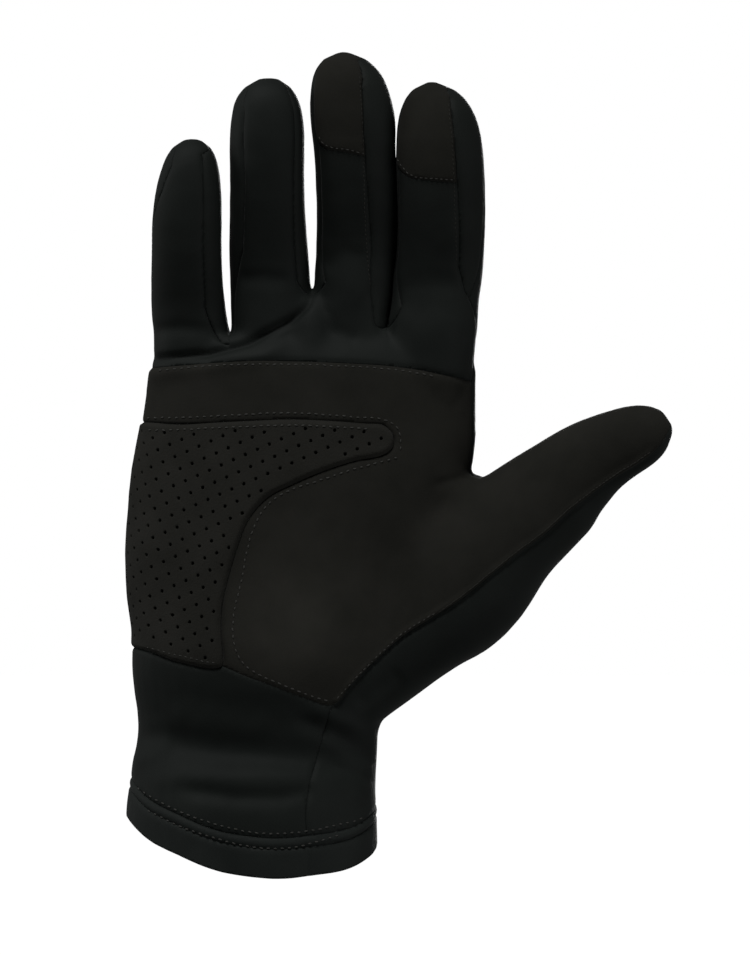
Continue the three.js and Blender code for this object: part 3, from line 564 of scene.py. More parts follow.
LEFT_SEAMS = {
    "little": [(137, 204, 204), (152, 205, 205), (157, 200, 205), (165, 188, 205), (178, 166, 205),
               (187, 138, 202), (193.7, 128, 199), (198.6, 138, 196), (200.8, 194, 195)],
    "ring": [(142, 150, 180), (146, 152, 188), (150, 156, 195), (157, 152, 195), (170, 128, 195),
             (188, 124, 195), (209, 127, 195), (215.5, 138, 195), (218.4, 194, 195)],
    "middle": [(156, 133, 180), (160, 133, 188), (166, 145, 195), (172, 150, 195), (200, 150, 195),
               (218, 152, 195), (223, 160, 195), (225.8, 194, 195)],
    "index": [(146, 125, 180), (150, 125, 188), (157, 142, 195), (165, 158, 195), (210, 158, 195),
              (215, 164, 195), (217.4, 194, 195)],
}
HEM_HEIGHT = 8.35
TUNNEL_TOP = 11.45
CUFF_WIDTH = 72.3
CUFF_DEPTH = 50
# Where the edge of the hem hangs lower: across, how far and how wide
HEM_DROOPS = [(32, 5.2, 14), (10, 0.6, 8), (-29.5, 1.3, 6.5)]
# The cuff's edge: height, rise to the little-finger side, dip on the palm side, and how far a droop goes
HEM_MIDDLE = 4
HEM_TILT = 2.7
HEM_DIP = 11.5
DROOP_GAIN = 1.5
# How far the palm's pieces wrap round the little-finger edge, from where, and over how much
PALM_EDGE_WRAP = 6
WRAP_FROM = -27.7
WRAP_EASE = 3
# Between these heights the side seam passes from the hand to the fingers
STEP_UP = (133.0, 141.0)
# The strips meet a web this far under its top, on a curve as steep as this
STRIP_DROP = 0.8
STRIP_CURVE = 0.22
# At a fingertip, an angle is made a length as if the finger was at least this thick
LEAST_HALF = 5.5
OFF_STRIP = (-99, 30)
OFF_PATCH = -9

# %% [markdown]
# ## From a line to a field
# For most seams the field is a height over a line, or the distance inside a closed one. Round a finger it
# is an angle, turned into a length. These helpers take points of the skin and give one number for each.

# %% Fields of the seams
def height_over(line, across, up, slope=1):
    """How far a place lies over a line whose points run to the right."""
    return (up - at(line, across)) * slope


def inside(line, across, up):
    """Distance inside a closed line, negative outside it."""
    loop = np.vstack([line, line[:1]])
    away, _ = line_place(across, up, loop)
    crossed = np.zeros(len(across), int)
    for (x0, z0), (x1, z1) in zip(loop[:-1], loop[1:]):
        if z0 == z1:
            continue
        spans = (up >= min(z0, z1)) & (up < max(z0, z1))
        crossed += spans & (across < x0 + (up - z0) * (x1 - x0) / (z1 - z0))
    return np.where(crossed % 2 == 1, away, -away)


def hem_drop(x, y):
    """How the cuff's edge dips on the palm side and stands higher on the little-finger side."""
    front = np.clip(0.5 - y / CUFF_DEPTH, 0, 1)
    arch = np.maximum(0, 1 - (2 * x / CUFF_WIDTH) ** 2)
    droop = sum(depth * np.exp(-(((x - middle) / width) ** 2)) for middle, depth, width in HEM_DROOPS)
    edge = HEM_MIDDLE - HEM_TILT * 2 * x / CUFF_WIDTH - HEM_DIP * front * arch
    return edge - droop * np.minimum(1, DROOP_GAIN * front)


def over_hem(points):
    return points[:, 2] - hem_drop(points[:, 0], points[:, 1])


def finger_place(points):
    """The finger each point is nearest to, the angle round it and millimetres for one degree."""
    found = []
    for name in FINGER_NAMES:
        rows = SECTIONS[name]
        x, y, half, depth = (np.interp(points[:, 2], rows[:, 2], rows[:, i]) for i in (0, 1, 3, 4))
        angle = np.degrees(np.arctan2((y - points[:, 1]) / depth, (points[:, 0] - x) / half))
        angle = np.where(angle < -90, angle + 360, angle)
        found.append((np.abs(points[:, 0] - x) / half, angle, np.radians(np.maximum(half, LEAST_HALF))))
    found = np.array(found)
    which = np.argmin(found[:, 0], axis=0)
    index = np.arange(len(points))
    return which, found[which, 1, index], found[which, 2, index]


def seam_angles(table, which, z, column):
    values = np.zeros(len(z))
    for i, name in enumerate(FINGER_NAMES):
        values = np.where(which == i, at(table[name], z, column), values)
    return values


def behind(points):
    """Positive on the back of the glove, negative on its palm side."""
    x, y, z = points.T
    wrap = PALM_EDGE_WRAP * np.clip((WRAP_FROM - x) / WRAP_EASE, 0, 1)
    body = y - thumb_depth(x) - np.where(x < 0, wrap, 0)
    which, angle, size = finger_place(points)
    right = seam_angles(RIGHT_SEAMS, which, z, 2) - angle
    left = angle - seam_angles(LEFT_SEAMS, which, z, 2)
    share = np.clip((z - STEP_UP[0]) / (STEP_UP[1] - STEP_UP[0]), 0, 1)
    return body * (1 - share) + np.maximum(right, left) * size * share


def beside(points):
    """Negative on the side strips of the fingers, seen on the palm side."""
    which, angle, size = finger_place(points)
    z = points[:, 2]
    across, up = seen(points)
    right = angle - seam_angles(RIGHT_SEAMS, which, z, 1)
    left = seam_angles(LEFT_SEAMS, which, z, 1) - angle
    gap = np.where(right < left, which, which - 1)
    under = OFF_STRIP[0]
    for i, (middle, top) in enumerate(WEBS):
        under = np.where(gap == i, top - STRIP_DROP + STRIP_CURVE * (across - middle) ** 2 - up, under)
    return np.maximum(np.minimum(right, left) * size, np.minimum(under, OFF_STRIP[1]))


def over_knuckles(points):
    return height_over(KNUCKLE_SEAM, *seen(points))


def over_patch(points):
    which, _, _ = finger_place(points)
    across, up = seen(points)
    over = OFF_PATCH
    for name, line in PATCH_LINES.items():
        over = np.where(which == FINGER_NAMES.index(name), height_over(line, across, up), over)
    return over


def on_pad(points):
    return inside(np.vstack([PAD_EDGE, PAD_FOOT]), *seen(points))


def over_palm_edge(points):
    across, up = seen(points)
    return height_over(PALM_EDGE, across, up, np.where(across < PALM_CORNER, *PALM_SLOPES))


def past_cuff_seam(points):
    across, up = seen(points)
    return across - at(CUFF_SEAM, up)


def past_back_seam(points):
    return (points[:, 0] - at(BACK_THUMB_SEAM, points[:, 2])) * BACK_SEAM_SLOPE


# %% [markdown]
# ## Cutting the skin
# Bisecting cuts along a plane only, so this helper does the same along a field: it splits each edge that
# the zero line crosses, and then each face between two such points. Where the line passes close to a
# point of the mesh, that point moves onto the line, which avoids slivers.

# %% The seam cutter
SNAP = 0.22
# A field that changes more than this along one edge has a step there, not a seam
STEP = 6
# How far over the side seam the palm side still reaches, so that seams run right up to it
PAST_SIDE = 1.5
BACK_SEAM_TOP = 132
FINGERS_FROM = 140


def cut_seam(bm, field, near):
    points = coords(bm)
    wanted = near(points)
    values = field(points)
    ends = np.array([(edge.verts[0].index, edge.verts[1].index) for edge in bm.edges])
    a, b = values[ends[:, 0]], values[ends[:, 1]]
    crossing = (a * b < 0) & (np.abs(a - b) < STEP) & wanted[ends[:, 0]] & wanted[ends[:, 1]]
    share = a / np.where(crossing, a - b, 1)
    verts, edges = bm.verts[:], bm.edges[:]
    moved = {}
    for k in np.nonzero(crossing)[0]:
        i, j = ends[k]
        place = points[i] + (points[j] - points[i]) * share[k]
        if share[k] < SNAP:
            moved.setdefault(i, []).append(place)
        elif share[k] > 1 - SNAP:
            moved.setdefault(j, []).append(place)
    on_seam = set()
    for i, places in moved.items():
        verts[i].co = Vector(np.mean(places, axis=0))
        on_seam.add(verts[i])
    for k in np.nonzero(crossing)[0]:
        i, j = ends[k]
        if i not in moved and j not in moved:
            _, made = bmesh.utils.edge_split(edges[k], verts[i], share[k])
            on_seam.add(made)
    for face in {face for vert in on_seam for face in vert.link_faces}:
        pair = [vert for vert in face.verts if vert in on_seam]
        if len(pair) == 2 and not any(pair[1] in edge.verts for edge in pair[0].link_edges):
            bmesh.utils.face_split(face, pair[0], pair[1])
    bm.verts.index_update()
    bm.edges.index_update()
    return len(on_seam)


def palm_side(points, low, high):
    return (behind(points) < PAST_SIDE) & (points[:, 2] > low) & (points[:, 2] < high)


bmesh.ops.triangulate(skin, faces=[face for face in skin.faces if len(face.verts) > 4])
skin.verts.index_update()
# Each seam's field, and where it runs on the glove, with heights in millimetres
cuts = {
    "hem edge": (over_hem, lambda p: p[:, 2] < 20),
    "hem": (lambda p: over_hem(p) - HEM_HEIGHT, lambda p: p[:, 2] < 30),
    "tunnel": (lambda p: over_hem(p) - TUNNEL_TOP, lambda p: p[:, 2] < 30),
    "side": (behind, lambda p: over_hem(p) > TUNNEL_TOP - 0.2),
    "pad": (on_pad, lambda p: palm_side(p, 40, 130)),
    "knuckles": (over_knuckles, lambda p: palm_side(p, 120, 145)),
    "strips": (beside, lambda p: palm_side(p, FINGERS_FROM, np.inf)),
    "patches": (over_patch, lambda p: palm_side(p, 180, np.inf) & (beside(p) > -1.5)),
    "palm edge": (over_palm_edge, lambda p: palm_side(p, -np.inf, 132)),
    "cuff seam": (past_cuff_seam, lambda p: palm_side(p, -np.inf, 42) & (over_palm_edge(p) < 1)),
    "back seam": (past_back_seam, lambda p: (behind(p) >= PAST_SIDE) & (p[:, 2] < BACK_SEAM_TOP)),
}
for name, (field, near) in cuts.items():
    print("cut along", name, cut_seam(skin, field, near))

# %% [markdown]
# ## Which panel a face belongs to
# The fields decide it, in the order in which the pieces are laid over each other. A few stray faces can
# fall on the wrong side where seams meet, so small islands join the panel around them.

# %% Panels
PANELS = [
    "hem_band", "hem_tunnel", "palm_pad", "fourchette_ring_little", "fourchette_middle_ring",
    "fourchette_index_middle", "little_side_gusset", "index_side_gusset", "middle_touch_tip",
    "index_touch_tip", "finger_panel", "palm_panel", "heel_panel", "thumb_panel", "back_panel",
]
CODE = {name: i for i, name in enumerate(PANELS)}
# The strips beside the fingers, from the little-finger side to the thumb side
STRIPS = np.array([CODE[name] for name in (
    "little_side_gusset", "fourchette_ring_little", "fourchette_middle_ring", "fourchette_index_middle",
    "index_side_gusset",
)])
LEAST_ISLAND = 150


def panel_codes(points):
    which, angle, _ = finger_place(points)
    front = behind(points) < 0
    strip = STRIPS[np.where(angle < 90, which + 1, which)]
    patch = np.where(which == 2, CODE["middle_touch_tip"], CODE["index_touch_tip"])
    hem = over_hem(points)
    fingers = over_knuckles(points) > 0
    behind_thumb = (past_back_seam(points) > 0) & (points[:, 2] < BACK_SEAM_TOP)
    conditions, choices = zip(
        (hem < HEM_HEIGHT, CODE["hem_band"]),
        (hem < TUNNEL_TOP, CODE["hem_tunnel"]),
        (front & (on_pad(points) > 0), CODE["palm_pad"]),
        (front & fingers & (points[:, 2] > FINGERS_FROM) & (beside(points) < 0), strip),
        (front & fingers & (over_patch(points) > 0), patch),
        (front & fingers, CODE["finger_panel"]),
        (front & (over_palm_edge(points) > 0), CODE["palm_panel"]),
        (front & (past_cuff_seam(points) < 0), CODE["heel_panel"]),
        (front | behind_thumb, CODE["thumb_panel"]),
    )
    return np.select(conditions, choices, CODE["back_panel"])


def centres(bm):
    return np.array([face.calc_center_median()[:] for face in bm.faces])


hanging = [face for face, over in zip(skin.faces[:], over_hem(centres(skin))) if over < 0]
bmesh.ops.delete(skin, geom=hanging, context="FACES")
for index, face in enumerate(skin.faces):
    face.index = index
codes = panel_codes(centres(skin)).tolist()
for _ in range(2):
    visited = [False] * len(codes)
    faces = skin.faces[:]
    for start in range(len(faces)):
        if visited[start]:
            continue
        island, stack, rim = [], [start], []
        visited[start] = True
        while stack:
            current = stack.pop()
            island.append(current)
            for edge in faces[current].edges:
                for other in edge.link_faces:
                    if codes[other.index] != codes[current]:
                        rim.append(codes[other.index])
                    elif not visited[other.index]:
                        visited[other.index] = True
                        stack.append(other.index)
        if len(island) < LEAST_ISLAND and rim:
            for current in island:
                codes[current] = max(set(rim), key=rim.count)
for name, code in CODE.items():
    print(name, codes.count(code), "faces")

# %% [markdown]
# ## Relief of the seams
# A sewn seam draws the cloth in, so the skin dips along each one. The pad stands proud with a rounded
# edge, the thumb seam is a folded, raised edge, and the two touch patches lie on top of the fingertips.

# %% Seam relief
GROOVE = 0.5
GROOVE_WIDTH = 0.75
PAD_RISE = 0.9
PAD_EDGE_WIDTH = 0.7
# The pad thins out round the glove's edge: where, over how much, and the least that stays
PAD_THINNING = (-37, 9, 0.45)
# The folded edge of the thumb seam and the groove beside it: rise and distance over the seam
FOLDED = [(0.75, 0.6), (-0.45, -0.5)]
FOLDED_FROM = 24
FOLDED_TO = (118, 8)
NARROW = 0.5
PATCH_RISE = 0.45
TUNNEL_RISE = 0.3
TUNNEL_WIDTH = 0.95
# The tunnel flattens at the cuff's sides: middle, half width, over how much, and the least that stays
TUNNEL_FLAT = (0.5, 37.5, 6, 0.3)
HEM_JOIN = 16.6
TIP_FADE = (1.0, 4.0)
CUFF_SEAM_REACH = 12
# Points this close to a seam lie on it, so they belong to both sides
ON_SEAM = 0.01


def dip(value, width):
    return np.exp(-((value / width) ** 2))


points = coords(skin)
x, y, z = points.T
side = behind(points)
front = side < ON_SEAM
hem = over_hem(points)
sleeve = hem > TUNNEL_TOP - ON_SEAM
knuckles = over_knuckles(points)
above = (knuckles > -ON_SEAM) & front
palm = front & ~above & (hem > TUNNEL_TOP)
pad = on_pad(points)
edge = over_palm_edge(points)
strips = beside(points)
patch = over_patch(points)
cuff_line = past_cuff_seam(points)
back_hand = ~front & (z < 130) & (hem > TUNNEL_TOP)
tips = np.array([rows[-1, 2] for rows in SECTIONS.values()])[finger_place(points)[0]]
under_tip = eased((tips - TIP_FADE[0] - z) / TIP_FADE[1])

# Where a groove runs, the field that is zero along it, its width, its share of the depth, and its fading
grooves = [
    (sleeve, side, GROOVE_WIDTH, 0.7, under_tip),
    (palm, pad, 0.45, 1, 1),
    (front & (z < 145), knuckles, 0.8, 1, 1),
    (above & (z > FINGERS_FROM), strips, GROOVE_WIDTH, 0.8, under_tip),
    (palm & (cuff_line < CUFF_SEAM_REACH) & (pad < 0), edge, 0.6, 0.6, 1),
    (palm & (edge < ON_SEAM), cuff_line, GROOVE_WIDTH, 0.8, 1),
    (back_hand, past_back_seam(points), GROOVE_WIDTH, 0.8, 1),
    (front & (hem < HEM_HEIGHT), x - HEM_JOIN, NARROW, 0.4, 1),
    (True, hem - HEM_HEIGHT, 0.6, 0.7, 1),
    (True, hem - TUNNEL_TOP, 0.6, 0.7, 1),
]
relief = -GROOVE * np.max([
    np.where(where, dip(field, width) * share * fading, 0) for where, field, width, share, fading in grooves
], axis=0)
side_at, over, least = PAD_THINNING
thinner = np.clip((x - side_at) / over, least, 1)
relief += np.where(palm & (pad > 0), PAD_RISE * thinner * (1 - dip(pad, PAD_EDGE_WIDTH)), 0)
folded = palm & (x > FOLDED_FROM)
before_tip = eased((FOLDED_TO[0] - x) / FOLDED_TO[1])
for rise, over_seam in FOLDED:
    relief += np.where(folded, rise * dip(edge - over_seam, NARROW) * before_tip, 0)
on_patch = above & (patch > 0) & (strips > 0)
relief += np.where(on_patch, PATCH_RISE * (1 - dip(patch, NARROW)) * under_tip, 0)
middle, half, over, least = TUNNEL_FLAT
flatter = np.clip((half - np.abs(x - middle)) / over, least, 1)
on_tunnel = dip(hem - (HEM_HEIGHT + TUNNEL_TOP) / 2, TUNNEL_WIDTH)
relief += np.where(hem < TUNNEL_TOP + 1, TUNNEL_RISE * flatter * on_tunnel, 0)
shift(skin, relief)
print("seam relief from", round(float(relief.min()), 2), "to", round(float(relief.max()), 2), "mm")

# %% [markdown]
# ## Materials
# The glove is nearly black throughout, so the finishes differ in how they take the light: suede is matt
# with a fine uneven nap, the stretch fabric is smoother, a touch cooler, and knitted.

# %% Finishes
def put(tree, made, inputs):
    """Links an input of a node where it is given a socket, and otherwise sets it."""
    for name, value in inputs.items():
        if isinstance(value, bpy.types.NodeSocket):
            tree.links.new(value, made.inputs[name])
        else:
            made.inputs[name].default_value = value


def node(tree, kind, inputs, **settings):
    made = tree.nodes.new(kind)
    for name, value in settings.items():
        setattr(made, name, value)
    put(tree, made, inputs)
    return made.outputs


def shader_of(name):
    """A new material with its node tree, its shader and the places on a piece."""
    material = bpy.data.materials.new(name)
    material.use_nodes = True
    tree = material.node_tree
    return material, tree, tree.nodes["Principled BSDF"], tree.nodes.new("ShaderNodeTexCoord").outputs


def noise_on(tree, place, scale, detail):
    inputs = {"Scale": scale, "Detail": detail, "Roughness": 0.6, "Vector": place["Object"]}
    return node(tree, "ShaderNodeTexNoise", inputs)["Fac"]


def ramp(tree, value, low, high):
    made = tree.nodes.new("ShaderNodeValToRGB")
    for stop, position, colour in zip(made.color_ramp.elements, (0.3, 0.7), (low, high)):
        stop.position = position
        stop.color = (*colour, 1)
    put(tree, made, {"Fac": value})
    return made.outputs["Color"]


def bump(tree, shader, heights):
    """Stacks bumps given as (height, strength, distance in millimetres)."""
    last = {}
    for height, strength, distance in heights:
        inputs = {"Strength": strength, "Distance": distance * MM, "Height": height, **last}
        last = {"Normal": node(tree, "ShaderNodeBump", inputs)["Normal"]}
    put(tree, shader, last)


def lightened_round(tree, place, colour, centre, reach, gain):
    """Lightens a colour round one place, most at its middle and less out to its reach."""
    inputs = {0: place["Object"], 1: [c * MM for c in centre]}
    away = node(tree, "ShaderNodeVectorMath", inputs, operation="DISTANCE")["Value"]
    inputs = {"From Max": reach * MM, "To Min": gain, "To Max": 1, "Value": away}
    near = node(tree, "ShaderNodeMapRange", inputs, interpolation_type="SMOOTHSTEP")["Result"]
    return node(tree, "ShaderNodeVectorMath", {0: colour, "Scale": near}, operation="SCALE")["Vector"]


def suede(name, low, high, lighter_spot=None, grain=0.12):
    material, tree, shader, place = shader_of(name)
    mottle = noise_on(tree, place, 60, 3)
    nap = noise_on(tree, place, 1500, 4)
    colour = ramp(tree, mottle, low, high)
    if lighter_spot:
        colour = lightened_round(tree, place, colour, *lighter_spot)
    put(tree, shader, {
        "Base Color": colour, "Roughness": ramp(tree, nap, (0.8,) * 3, (0.95,) * 3),
        "Specular IOR Level": 0.01, "Sheen Weight": 0.004, "Sheen Roughness": 0.5,
    })
    bump(tree, shader, [(mottle, 0.25, 0.5), (nap, 0.5, grain)])
    return material


def knit(name, low, high):
    material, tree, shader, place = shader_of(name)
    mottle = noise_on(tree, place, 45, 2)
    fuzz = noise_on(tree, place, 2200, 3)
    put(tree, shader, {
        "Base Color": ramp(tree, mottle, low, high), "Roughness": 0.72,
        "Specular IOR Level": 0.03, "Sheen Weight": 0.003, "Sheen Roughness": 0.4,
    })
    inputs = {"Scale": 420, "Distortion": 1.5, "Vector": place["UV"]}
    ribs = node(tree, "ShaderNodeTexWave", inputs, bands_direction="DIAGONAL")["Fac"]
    bump(tree, shader, [(ribs, 0.12, 0.05), (fuzz, 0.4, 0.1)])
    return material


def thread(name, colour):
    material, tree, shader, place = shader_of(name)
    twist = noise_on(tree, place, 4000, 2)
    colours = ramp(tree, twist, [0.7 * c for c in colour], colour)
    put(tree, shader, {"Base Color": colours, "Roughness": 0.7, "Specular IOR Level": 0.05})
    bump(tree, shader, [(twist, 0.4, 0.1)])
    return material


# The palm's suede is lighter round the middle of the palm, up to 1.45 times, fading out over 34 mm.
SUEDE = suede("palm_suede", (0.0032, 0.0032, 0.0027), (0.0044, 0.0043, 0.0037), ((16, -23, 64), 34, 1.45))
TIP_SUEDE = suede("tip_suede", (0.003, 0.003, 0.0025), (0.0042, 0.0041, 0.0035))
PAD_SUEDE = suede("pad_suede", (0.0034, 0.0034, 0.0029), (0.0049, 0.0048, 0.0042), grain=0.3)
STRETCH = knit("stretch_knit", (0.00145, 0.00185, 0.00165), (0.0022, 0.0027, 0.0024))
HEM_KNIT = knit("hem_knit", (0.002, 0.0025, 0.0023), (0.003, 0.0036, 0.0033))
HEEL_KNIT = knit("heel_knit", (0.0012, 0.0016, 0.0014), (0.0019, 0.0024, 0.0021))
THREAD = thread("thread", (0.01, 0.01, 0.0091))
SEAM_THREAD = thread("seam_thread", (0.0058, 0.0058, 0.0049))
FINISHES = {name: (STRETCH, "stretch") for name in PANELS}
FINISHES.update({
    "palm_panel": (SUEDE, "suede"), "index_touch_tip": (TIP_SUEDE, "suede"),
    "middle_touch_tip": (TIP_SUEDE, "suede"), "palm_pad": (PAD_SUEDE, "pad_suede"),
    "hem_band": (HEM_KNIT, "stretch"), "hem_tunnel": (HEM_KNIT, "stretch"),
    "heel_panel": (HEEL_KNIT, "stretch"),
})

# %% [markdown]
# ## Cutting out the panels
# Each panel is a copy of the skin with the other faces deleted. Solidify gives it a wall inwards, so the
# glove stays hollow from the cuff to the fingertips.

# %% Panels with a wall
WALLS = {name: 1.2 for name in PANELS}
WALLS.update({"hem_band": 2.0, "hem_tunnel": 2.0, "palm_pad": 2.2})


def laid_flat(bm):
    """A UV map in metres that follows the cloth: seen from the front, or from the side on steep faces."""
    layer = bm.loops.layers.uv.verify()
    for face in bm.faces:
        steep = abs(face.normal.x) > abs(face.normal.y)
        for corner in face.loops:
            x, y, z = corner.vert.co * MM
            corner[layer].uv = (y, z) if steep else (x, z)


def finish_panel(bm, name):
    laid_flat(bm)
    for face in bm.faces:
        face.smooth = True
    panel = object_of(bm, name + "_cloth")
    material, slot = FINISHES[name]
    panel.data.materials.append(material)
    wall = panel.modifiers.new("wall", "SOLIDIFY")
    wall.thickness = WALLS[name] * MM
    wall.offset = -1
    wall.use_even_offset = False
    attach(panel, "root")
    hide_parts(name)
    return panel


def only(bm, code):
    piece = bm.copy()
    drop = [face for face, found in zip(piece.faces[:], codes) if found != code]
    bmesh.ops.delete(piece, geom=drop, context="FACES")
    return piece


skin_tree = BVHTree.FromBMesh(skin)
for name, code in CODE.items():
    if name == "palm_pad":
        continue
    piece = only(skin, code)
    finish_panel(piece, name)
    piece.free()

# %% [markdown]
# ## The pad
# The pad's suede is punched with small holes on a slanting square grid. The mesh there is divided once,
# the rim of each hole is cut with the seam cutter, and the faces inside are pushed in.

# %% The perforated pad
HOLE_PITCH = 3.8
HOLE_TURN = math.radians(23.5)
HOLE_RADIUS = 0.52
HOLE_DEPTH = 0.9
HOLE_START = (-3.4, 114.6)
HOLE_MARGIN = 2.3
TURN_FROM = -27.0
TURN_EASE = 2.5
PAD_MIDDLE = 12.0
SIDE_MARGIN = 2.0
NO_HOLE = 1.0


def unrolled(points):
    """Across and up on the pad, with the part that wraps round the glove's edge laid flat."""
    across, up = seen(points)
    left = at(BODY_ROWS, points[:, 2])
    share = np.clip((PAD_MIDDLE - TURN_FROM) / (PAD_MIDDLE - left), 0, 1)
    start = -at(BODY_ROWS, points[:, 2], 3) * (1 - share**SQUARENESS) ** (1 / SQUARENESS)
    turn, _ = seen(np.stack([np.full(len(left), TURN_FROM), start, points[:, 2]], axis=1))
    past = points[:, 0] - TURN_FROM
    wrapped = turn - np.hypot(past, (points[:, 1] - start) * np.clip(-past / TURN_EASE, 0, 1))
    return np.where(points[:, 0] < TURN_FROM, wrapped, across), up


def hole_field(points):
    """Distance outside the nearest hole's rim."""
    across, up = unrolled(points)
    dx, dz = across - HOLE_START[0], up - HOLE_START[1]
    turn = np.array([(math.cos(HOLE_TURN), math.sin(HOLE_TURN)), (-math.sin(HOLE_TURN), math.cos(HOLE_TURN))])
    a, b = (turn @ np.array([dx, dz])) / HOLE_PITCH
    middle = turn.T @ np.array([np.round(a), np.round(b)]) * HOLE_PITCH
    kept = inside(np.vstack([PAD_EDGE, PAD_FOOT]), middle[0] + HOLE_START[0], middle[1] + HOLE_START[1])
    away = np.hypot(a - np.round(a), b - np.round(b)) * HOLE_PITCH
    return np.where(kept > HOLE_MARGIN, away - HOLE_RADIUS, NO_HOLE)


def not_at_back(points):
    return behind(points) < -SIDE_MARGIN


pad_piece = only(skin, CODE["palm_pad"])
bmesh.ops.subdivide_edges(pad_piece, edges=pad_piece.edges[:], cuts=1, use_grid_fill=True)
bmesh.ops.triangulate(pad_piece, faces=[face for face in pad_piece.faces if len(face.verts) > 4])
pad_piece.verts.index_update()
pad_piece.edges.index_update()
rims = cut_seam(pad_piece, hole_field, not_at_back)
middles = centres(pad_piece)
punched = [
    face for face, away, near in zip(pad_piece.faces[:], hole_field(middles), not_at_back(middles))
    if away < 0 and near
]
pad_piece.normal_update()
extruded = bmesh.ops.extrude_face_region(pad_piece, geom=punched)
floor_verts = [item for item in extruded["geom"] if isinstance(item, bmesh.types.BMVert)]
inwards = {vert: vert.normal.copy() for vert in floor_verts}
bmesh.ops.delete(pad_piece, geom=punched, context="FACES")
for vert, normal in inwards.items():
    vert.co -= normal * HOLE_DEPTH
finish_panel(pad_piece, "palm_pad")
pad_piece.free()
print("pad rims:", rims, "faces punched:", len(punched))

# %% [markdown]
# ## Stitches
# Lockstitch shows as a row of short, plump dashes. Each one is a small stretched sphere that sinks into
# the cloth at its ends. Its place is found by looking from the camera along the line of the seam.

# %% Rows of stitches
STITCH_PITCH = 2.05
STITCH_LENGTH = 1.1
STITCH_WIDTH = 0.48
# How far a stitch stands out for its width, and how unevenly a hand-guided machine lays it
STITCH_LIFT = 0.15
STITCH_SLANT = 0.2
STITCH_WANDER = 0.08
STITCH_LENGTHS = (0.8, 1.1)
hand = random.Random(11)

def landed(across, up):
    """The point and normal where a line of sight meets the skin."""
    way = Vector(sight(across, up)).normalized()
    return skin_tree.ray_cast(Vector(EYE), way)[:2]


def stitch_row(bm, line, pitch=STITCH_PITCH, length=STITCH_LENGTH, width=STITCH_WIDTH):
    made = 0
    for (x0, z0), (x1, z1) in zip(line[:-1], line[1:]):
        place, normal = landed((x0 + x1) / 2, (z0 + z1) / 2)
        start, _ = landed(x0, z0)
        stop, _ = landed(x1, z1)
        if place is None or start is None or stop is None:
            continue
        way = stop - start
        if way.length > 2 * pitch or way.length < 1e-6:
            continue
        way.normalize()
        across = normal.cross(way).normalized()
        way = (way + across * hand.uniform(-STITCH_SLANT, STITCH_SLANT)).normalized()
        across = normal.cross(way).normalized()
        axes = Matrix((way, across, normal)).transposed().to_4x4()
        size = Matrix.Diagonal((length / 2 * hand.uniform(*STITCH_LENGTHS), width / 2, width / 2, 1))
        sunk = place + normal * width * STITCH_LIFT + across * hand.uniform(-STITCH_WANDER, STITCH_WANDER)
        bmesh.ops.create_uvsphere(
            bm, u_segments=8, v_segments=5, radius=1,
            matrix=Matrix.Translation(sunk) @ axes @ size @ Matrix.Rotation(math.pi / 2, 4, "Y"),
        )
        made += 1
    return made


def stitches(name, rows, slot, pitch=STITCH_PITCH, finish=THREAD, **kinds):
    bm = bmesh.new()
    made = sum(stitch_row(bm, spline(row, pitch), pitch, **kinds) for row in rows)
    for face in bm.faces:
        face.smooth = True
    piece = object_of(bm, name)
    bm.free()
    piece.data.materials.append(finish)
    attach(piece, "root")
    print(name, made)


stitches("stitches_knuckle_seam", [
    [(-27.6, 135.4), (-12, 136.9), (-0.6, 137.3), (12, 137.3), (25.5, 136.8), (42.9, 135.6), (53, 133.8)],
], "suede")
stitches("stitches_pad_top", [
    [(-31, 121.8), (-20, 121.9), (-8.8, 122.4), (11, 123.2), (30.2, 122), (37.7, 121.4), (41.4, 119.8),
     (43, 117), (43, 112)],
    [(-30.6, 118.2), (-20, 118.4), (-8, 119), (11, 119.6), (24, 119.2), (34, 118.6)],
], "suede")
stitches("stitches_palm_inner", [
    [(42.6, 110.5), (37, 108.9), (30.2, 107.1), (20.6, 104), (9.6, 100.1), (4.8, 96.9), (0.7, 90.5),
     (-1.3, 83.8), (-3.4, 72.8), (-5.2, 65.2), (-5.4, 57.7), (-3.4, 51.6), (1.4, 47.6), (8.3, 44.6),
     (16.5, 41.4), (22.4, 39.6)],
], "suede")
stitches("stitches_pad_foot", [
    [(-31, 55.4), (-25, 53.8), (-19.4, 52.5), (-14, 51.2), (-10.4, 50.6)],
], "suede", pitch=1.6, length=0.9, width=0.3)
stitches("stitches_thumb_seam", [
    [(24.4, 40.1), (29.2, 45.4), (35.9, 52.2), (43.8, 59.3), (53.3, 65.3)],
], "suede", pitch=1.6, length=1.0, width=0.34)
stitches("stitches_thumb_edge", [
    [(54, 65.4), (60.9, 70.2), (68.4, 76.3), (76.5, 82.8), (84.7, 88.9), (91.9, 95.4), (98.6, 100.6),
     (105.3, 105.3), (111.9, 109.4), (115.5, 111.9)],
], "suede", pitch=1.2, finish=SEAM_THREAD, length=1.25, width=0.26)
stitches("stitches_touch_patches", [
    [(19.3, 203.6), (20.4, 201.6), (22.2, 200.4), (27, 199.7), (33, 198.3)],
    [(42, 197), (43.9, 194.2), (46, 192.2), (53.1, 191.2), (58.6, 190.8)],
], "suede", pitch=1.5, length=0.9, width=0.28)
stitches("stitches_finger_seams", [
    [(31.2, 221), (32, 208), (32.4, 196.5), (32.7, 183), (33.5, 168), (34.3, 160)],
    [(57, 213), (58.2, 200), (58.6, 190), (59, 178), (59.4, 167)],
], "stretch", pitch=1.3, finish=SEAM_THREAD, length=0.9, width=0.24)
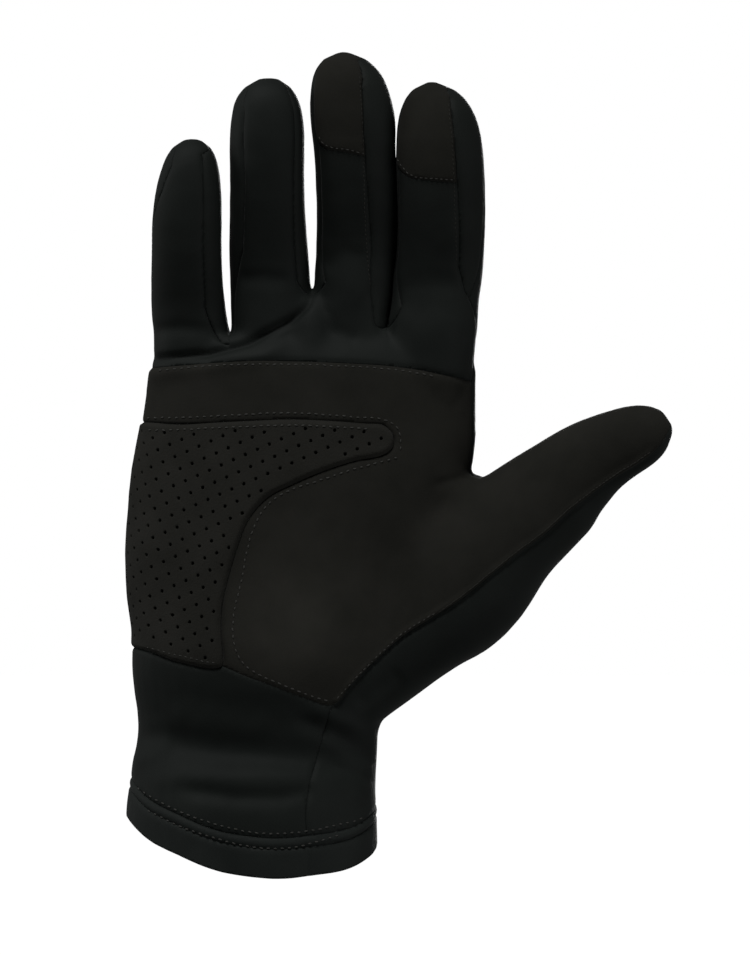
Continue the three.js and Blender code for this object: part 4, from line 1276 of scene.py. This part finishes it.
stitches("stitches_hem_upper", [
    [(-33.6, 14.9), (-30.2, 12.5), (-24.6, 9.4), (-19, 6.8), (-13.3, 4.8), (-7.8, 3.2), (-2.3, 2),
     (3.2, 1.3), (8.7, 1.3), (14.2, 1.7), (19.7, 2.6), (25.5, 3.9), (31, 5.3), (34.4, 6.8)],
], "stretch")
stitches("stitches_hem_lower", [
    [(-30.7, 8.2), (-24.6, 5.1), (-19, 2.6), (-13.3, 0.8), (-7.8, -0.9), (-2.3, -2.2), (3.2, -3),
     (8.7, -3), (14.2, -2.3), (19.7, -0.8), (25.5, 0.8)],
], "stretch")

# %% [markdown]
# ## Floor and light
# The glove stands before a plain white ground that is lit by itself. A large soft light comes from high
# on the left, weaker ones fill in from both sides, and one behind the glove shows the back's form.

# %% Stage and lights
GROUND = 1.0
AMBIENT = 0.24
FLOOR_GLOW = 0.5
FLOOR_SIZE = 4000
FLOOR_HEIGHT = -420
# Place, aim, size and power
LIGHTS = {
    "key": ((-0.45, -1.1, 2.2), (0.02, 0, 0.1), 0.7, 172),
    "side": ((-1.5, -0.05, 0.5), (0.0, 0, 0.1), 0.6, 28),
    "fill": ((1.1, -0.7, -0.35), (0.03, 0, 0.1), 0.9, 34),
    "back": ((0.4, 2.0, 0.3), (0.02, 0, 0.1), 0.9, 60),
}


def seen_or_lit(tree, lit, seen_as):
    """A brightness that differs between what the camera sees and what falls on the glove."""
    path = tree.nodes.new("ShaderNodeLightPath").outputs
    inputs = {"To Min": lit, "To Max": seen_as, "Value": path["Is Camera Ray"]}
    return node(tree, "ShaderNodeMapRange", inputs)["Result"]


floor_mesh = bmesh.new()
bmesh.ops.create_grid(floor_mesh, x_segments=1, y_segments=1, size=FLOOR_SIZE)
bmesh.ops.translate(floor_mesh, verts=floor_mesh.verts, vec=(0, 0, FLOOR_HEIGHT))
floor = object_of(floor_mesh, "floor")
floor_mesh.free()
# The floor is lit by itself, as a studio lights its backdrop apart from the object
pale, tree, shader, _ = shader_of("pale_floor")
put(tree, shader, {
    "Base Color": (0.02, 0.02, 0.02, 1), "Specular IOR Level": 0, "Emission Color": (1, 1, 1, 1),
    "Emission Strength": seen_or_lit(tree, FLOOR_GLOW, GROUND),
})
floor.data.materials.append(pale)

world = bpy.data.worlds.new("white_ground")
world.use_nodes = True
tree = world.node_tree
put(tree, tree.nodes["Background"], {"Color": (1, 1, 1, 1), "Strength": seen_or_lit(tree, AMBIENT, GROUND)})
bpy.context.scene.world = world
bpy.context.scene.view_settings.view_transform = "Standard"

for name, (place, aim, size, power) in LIGHTS.items():
    data = bpy.data.lights.new(name, "AREA")
    data.size = size
    data.energy = power
    light = bpy.data.objects.new(name, data)
    light.location = Vector(place)
    light.rotation_euler = (Vector(aim) - Vector(place)).to_track_quat("-Z", "Y").to_euler()
    bpy.context.scene.collection.objects.link(light)
print("lights:", list(LIGHTS))
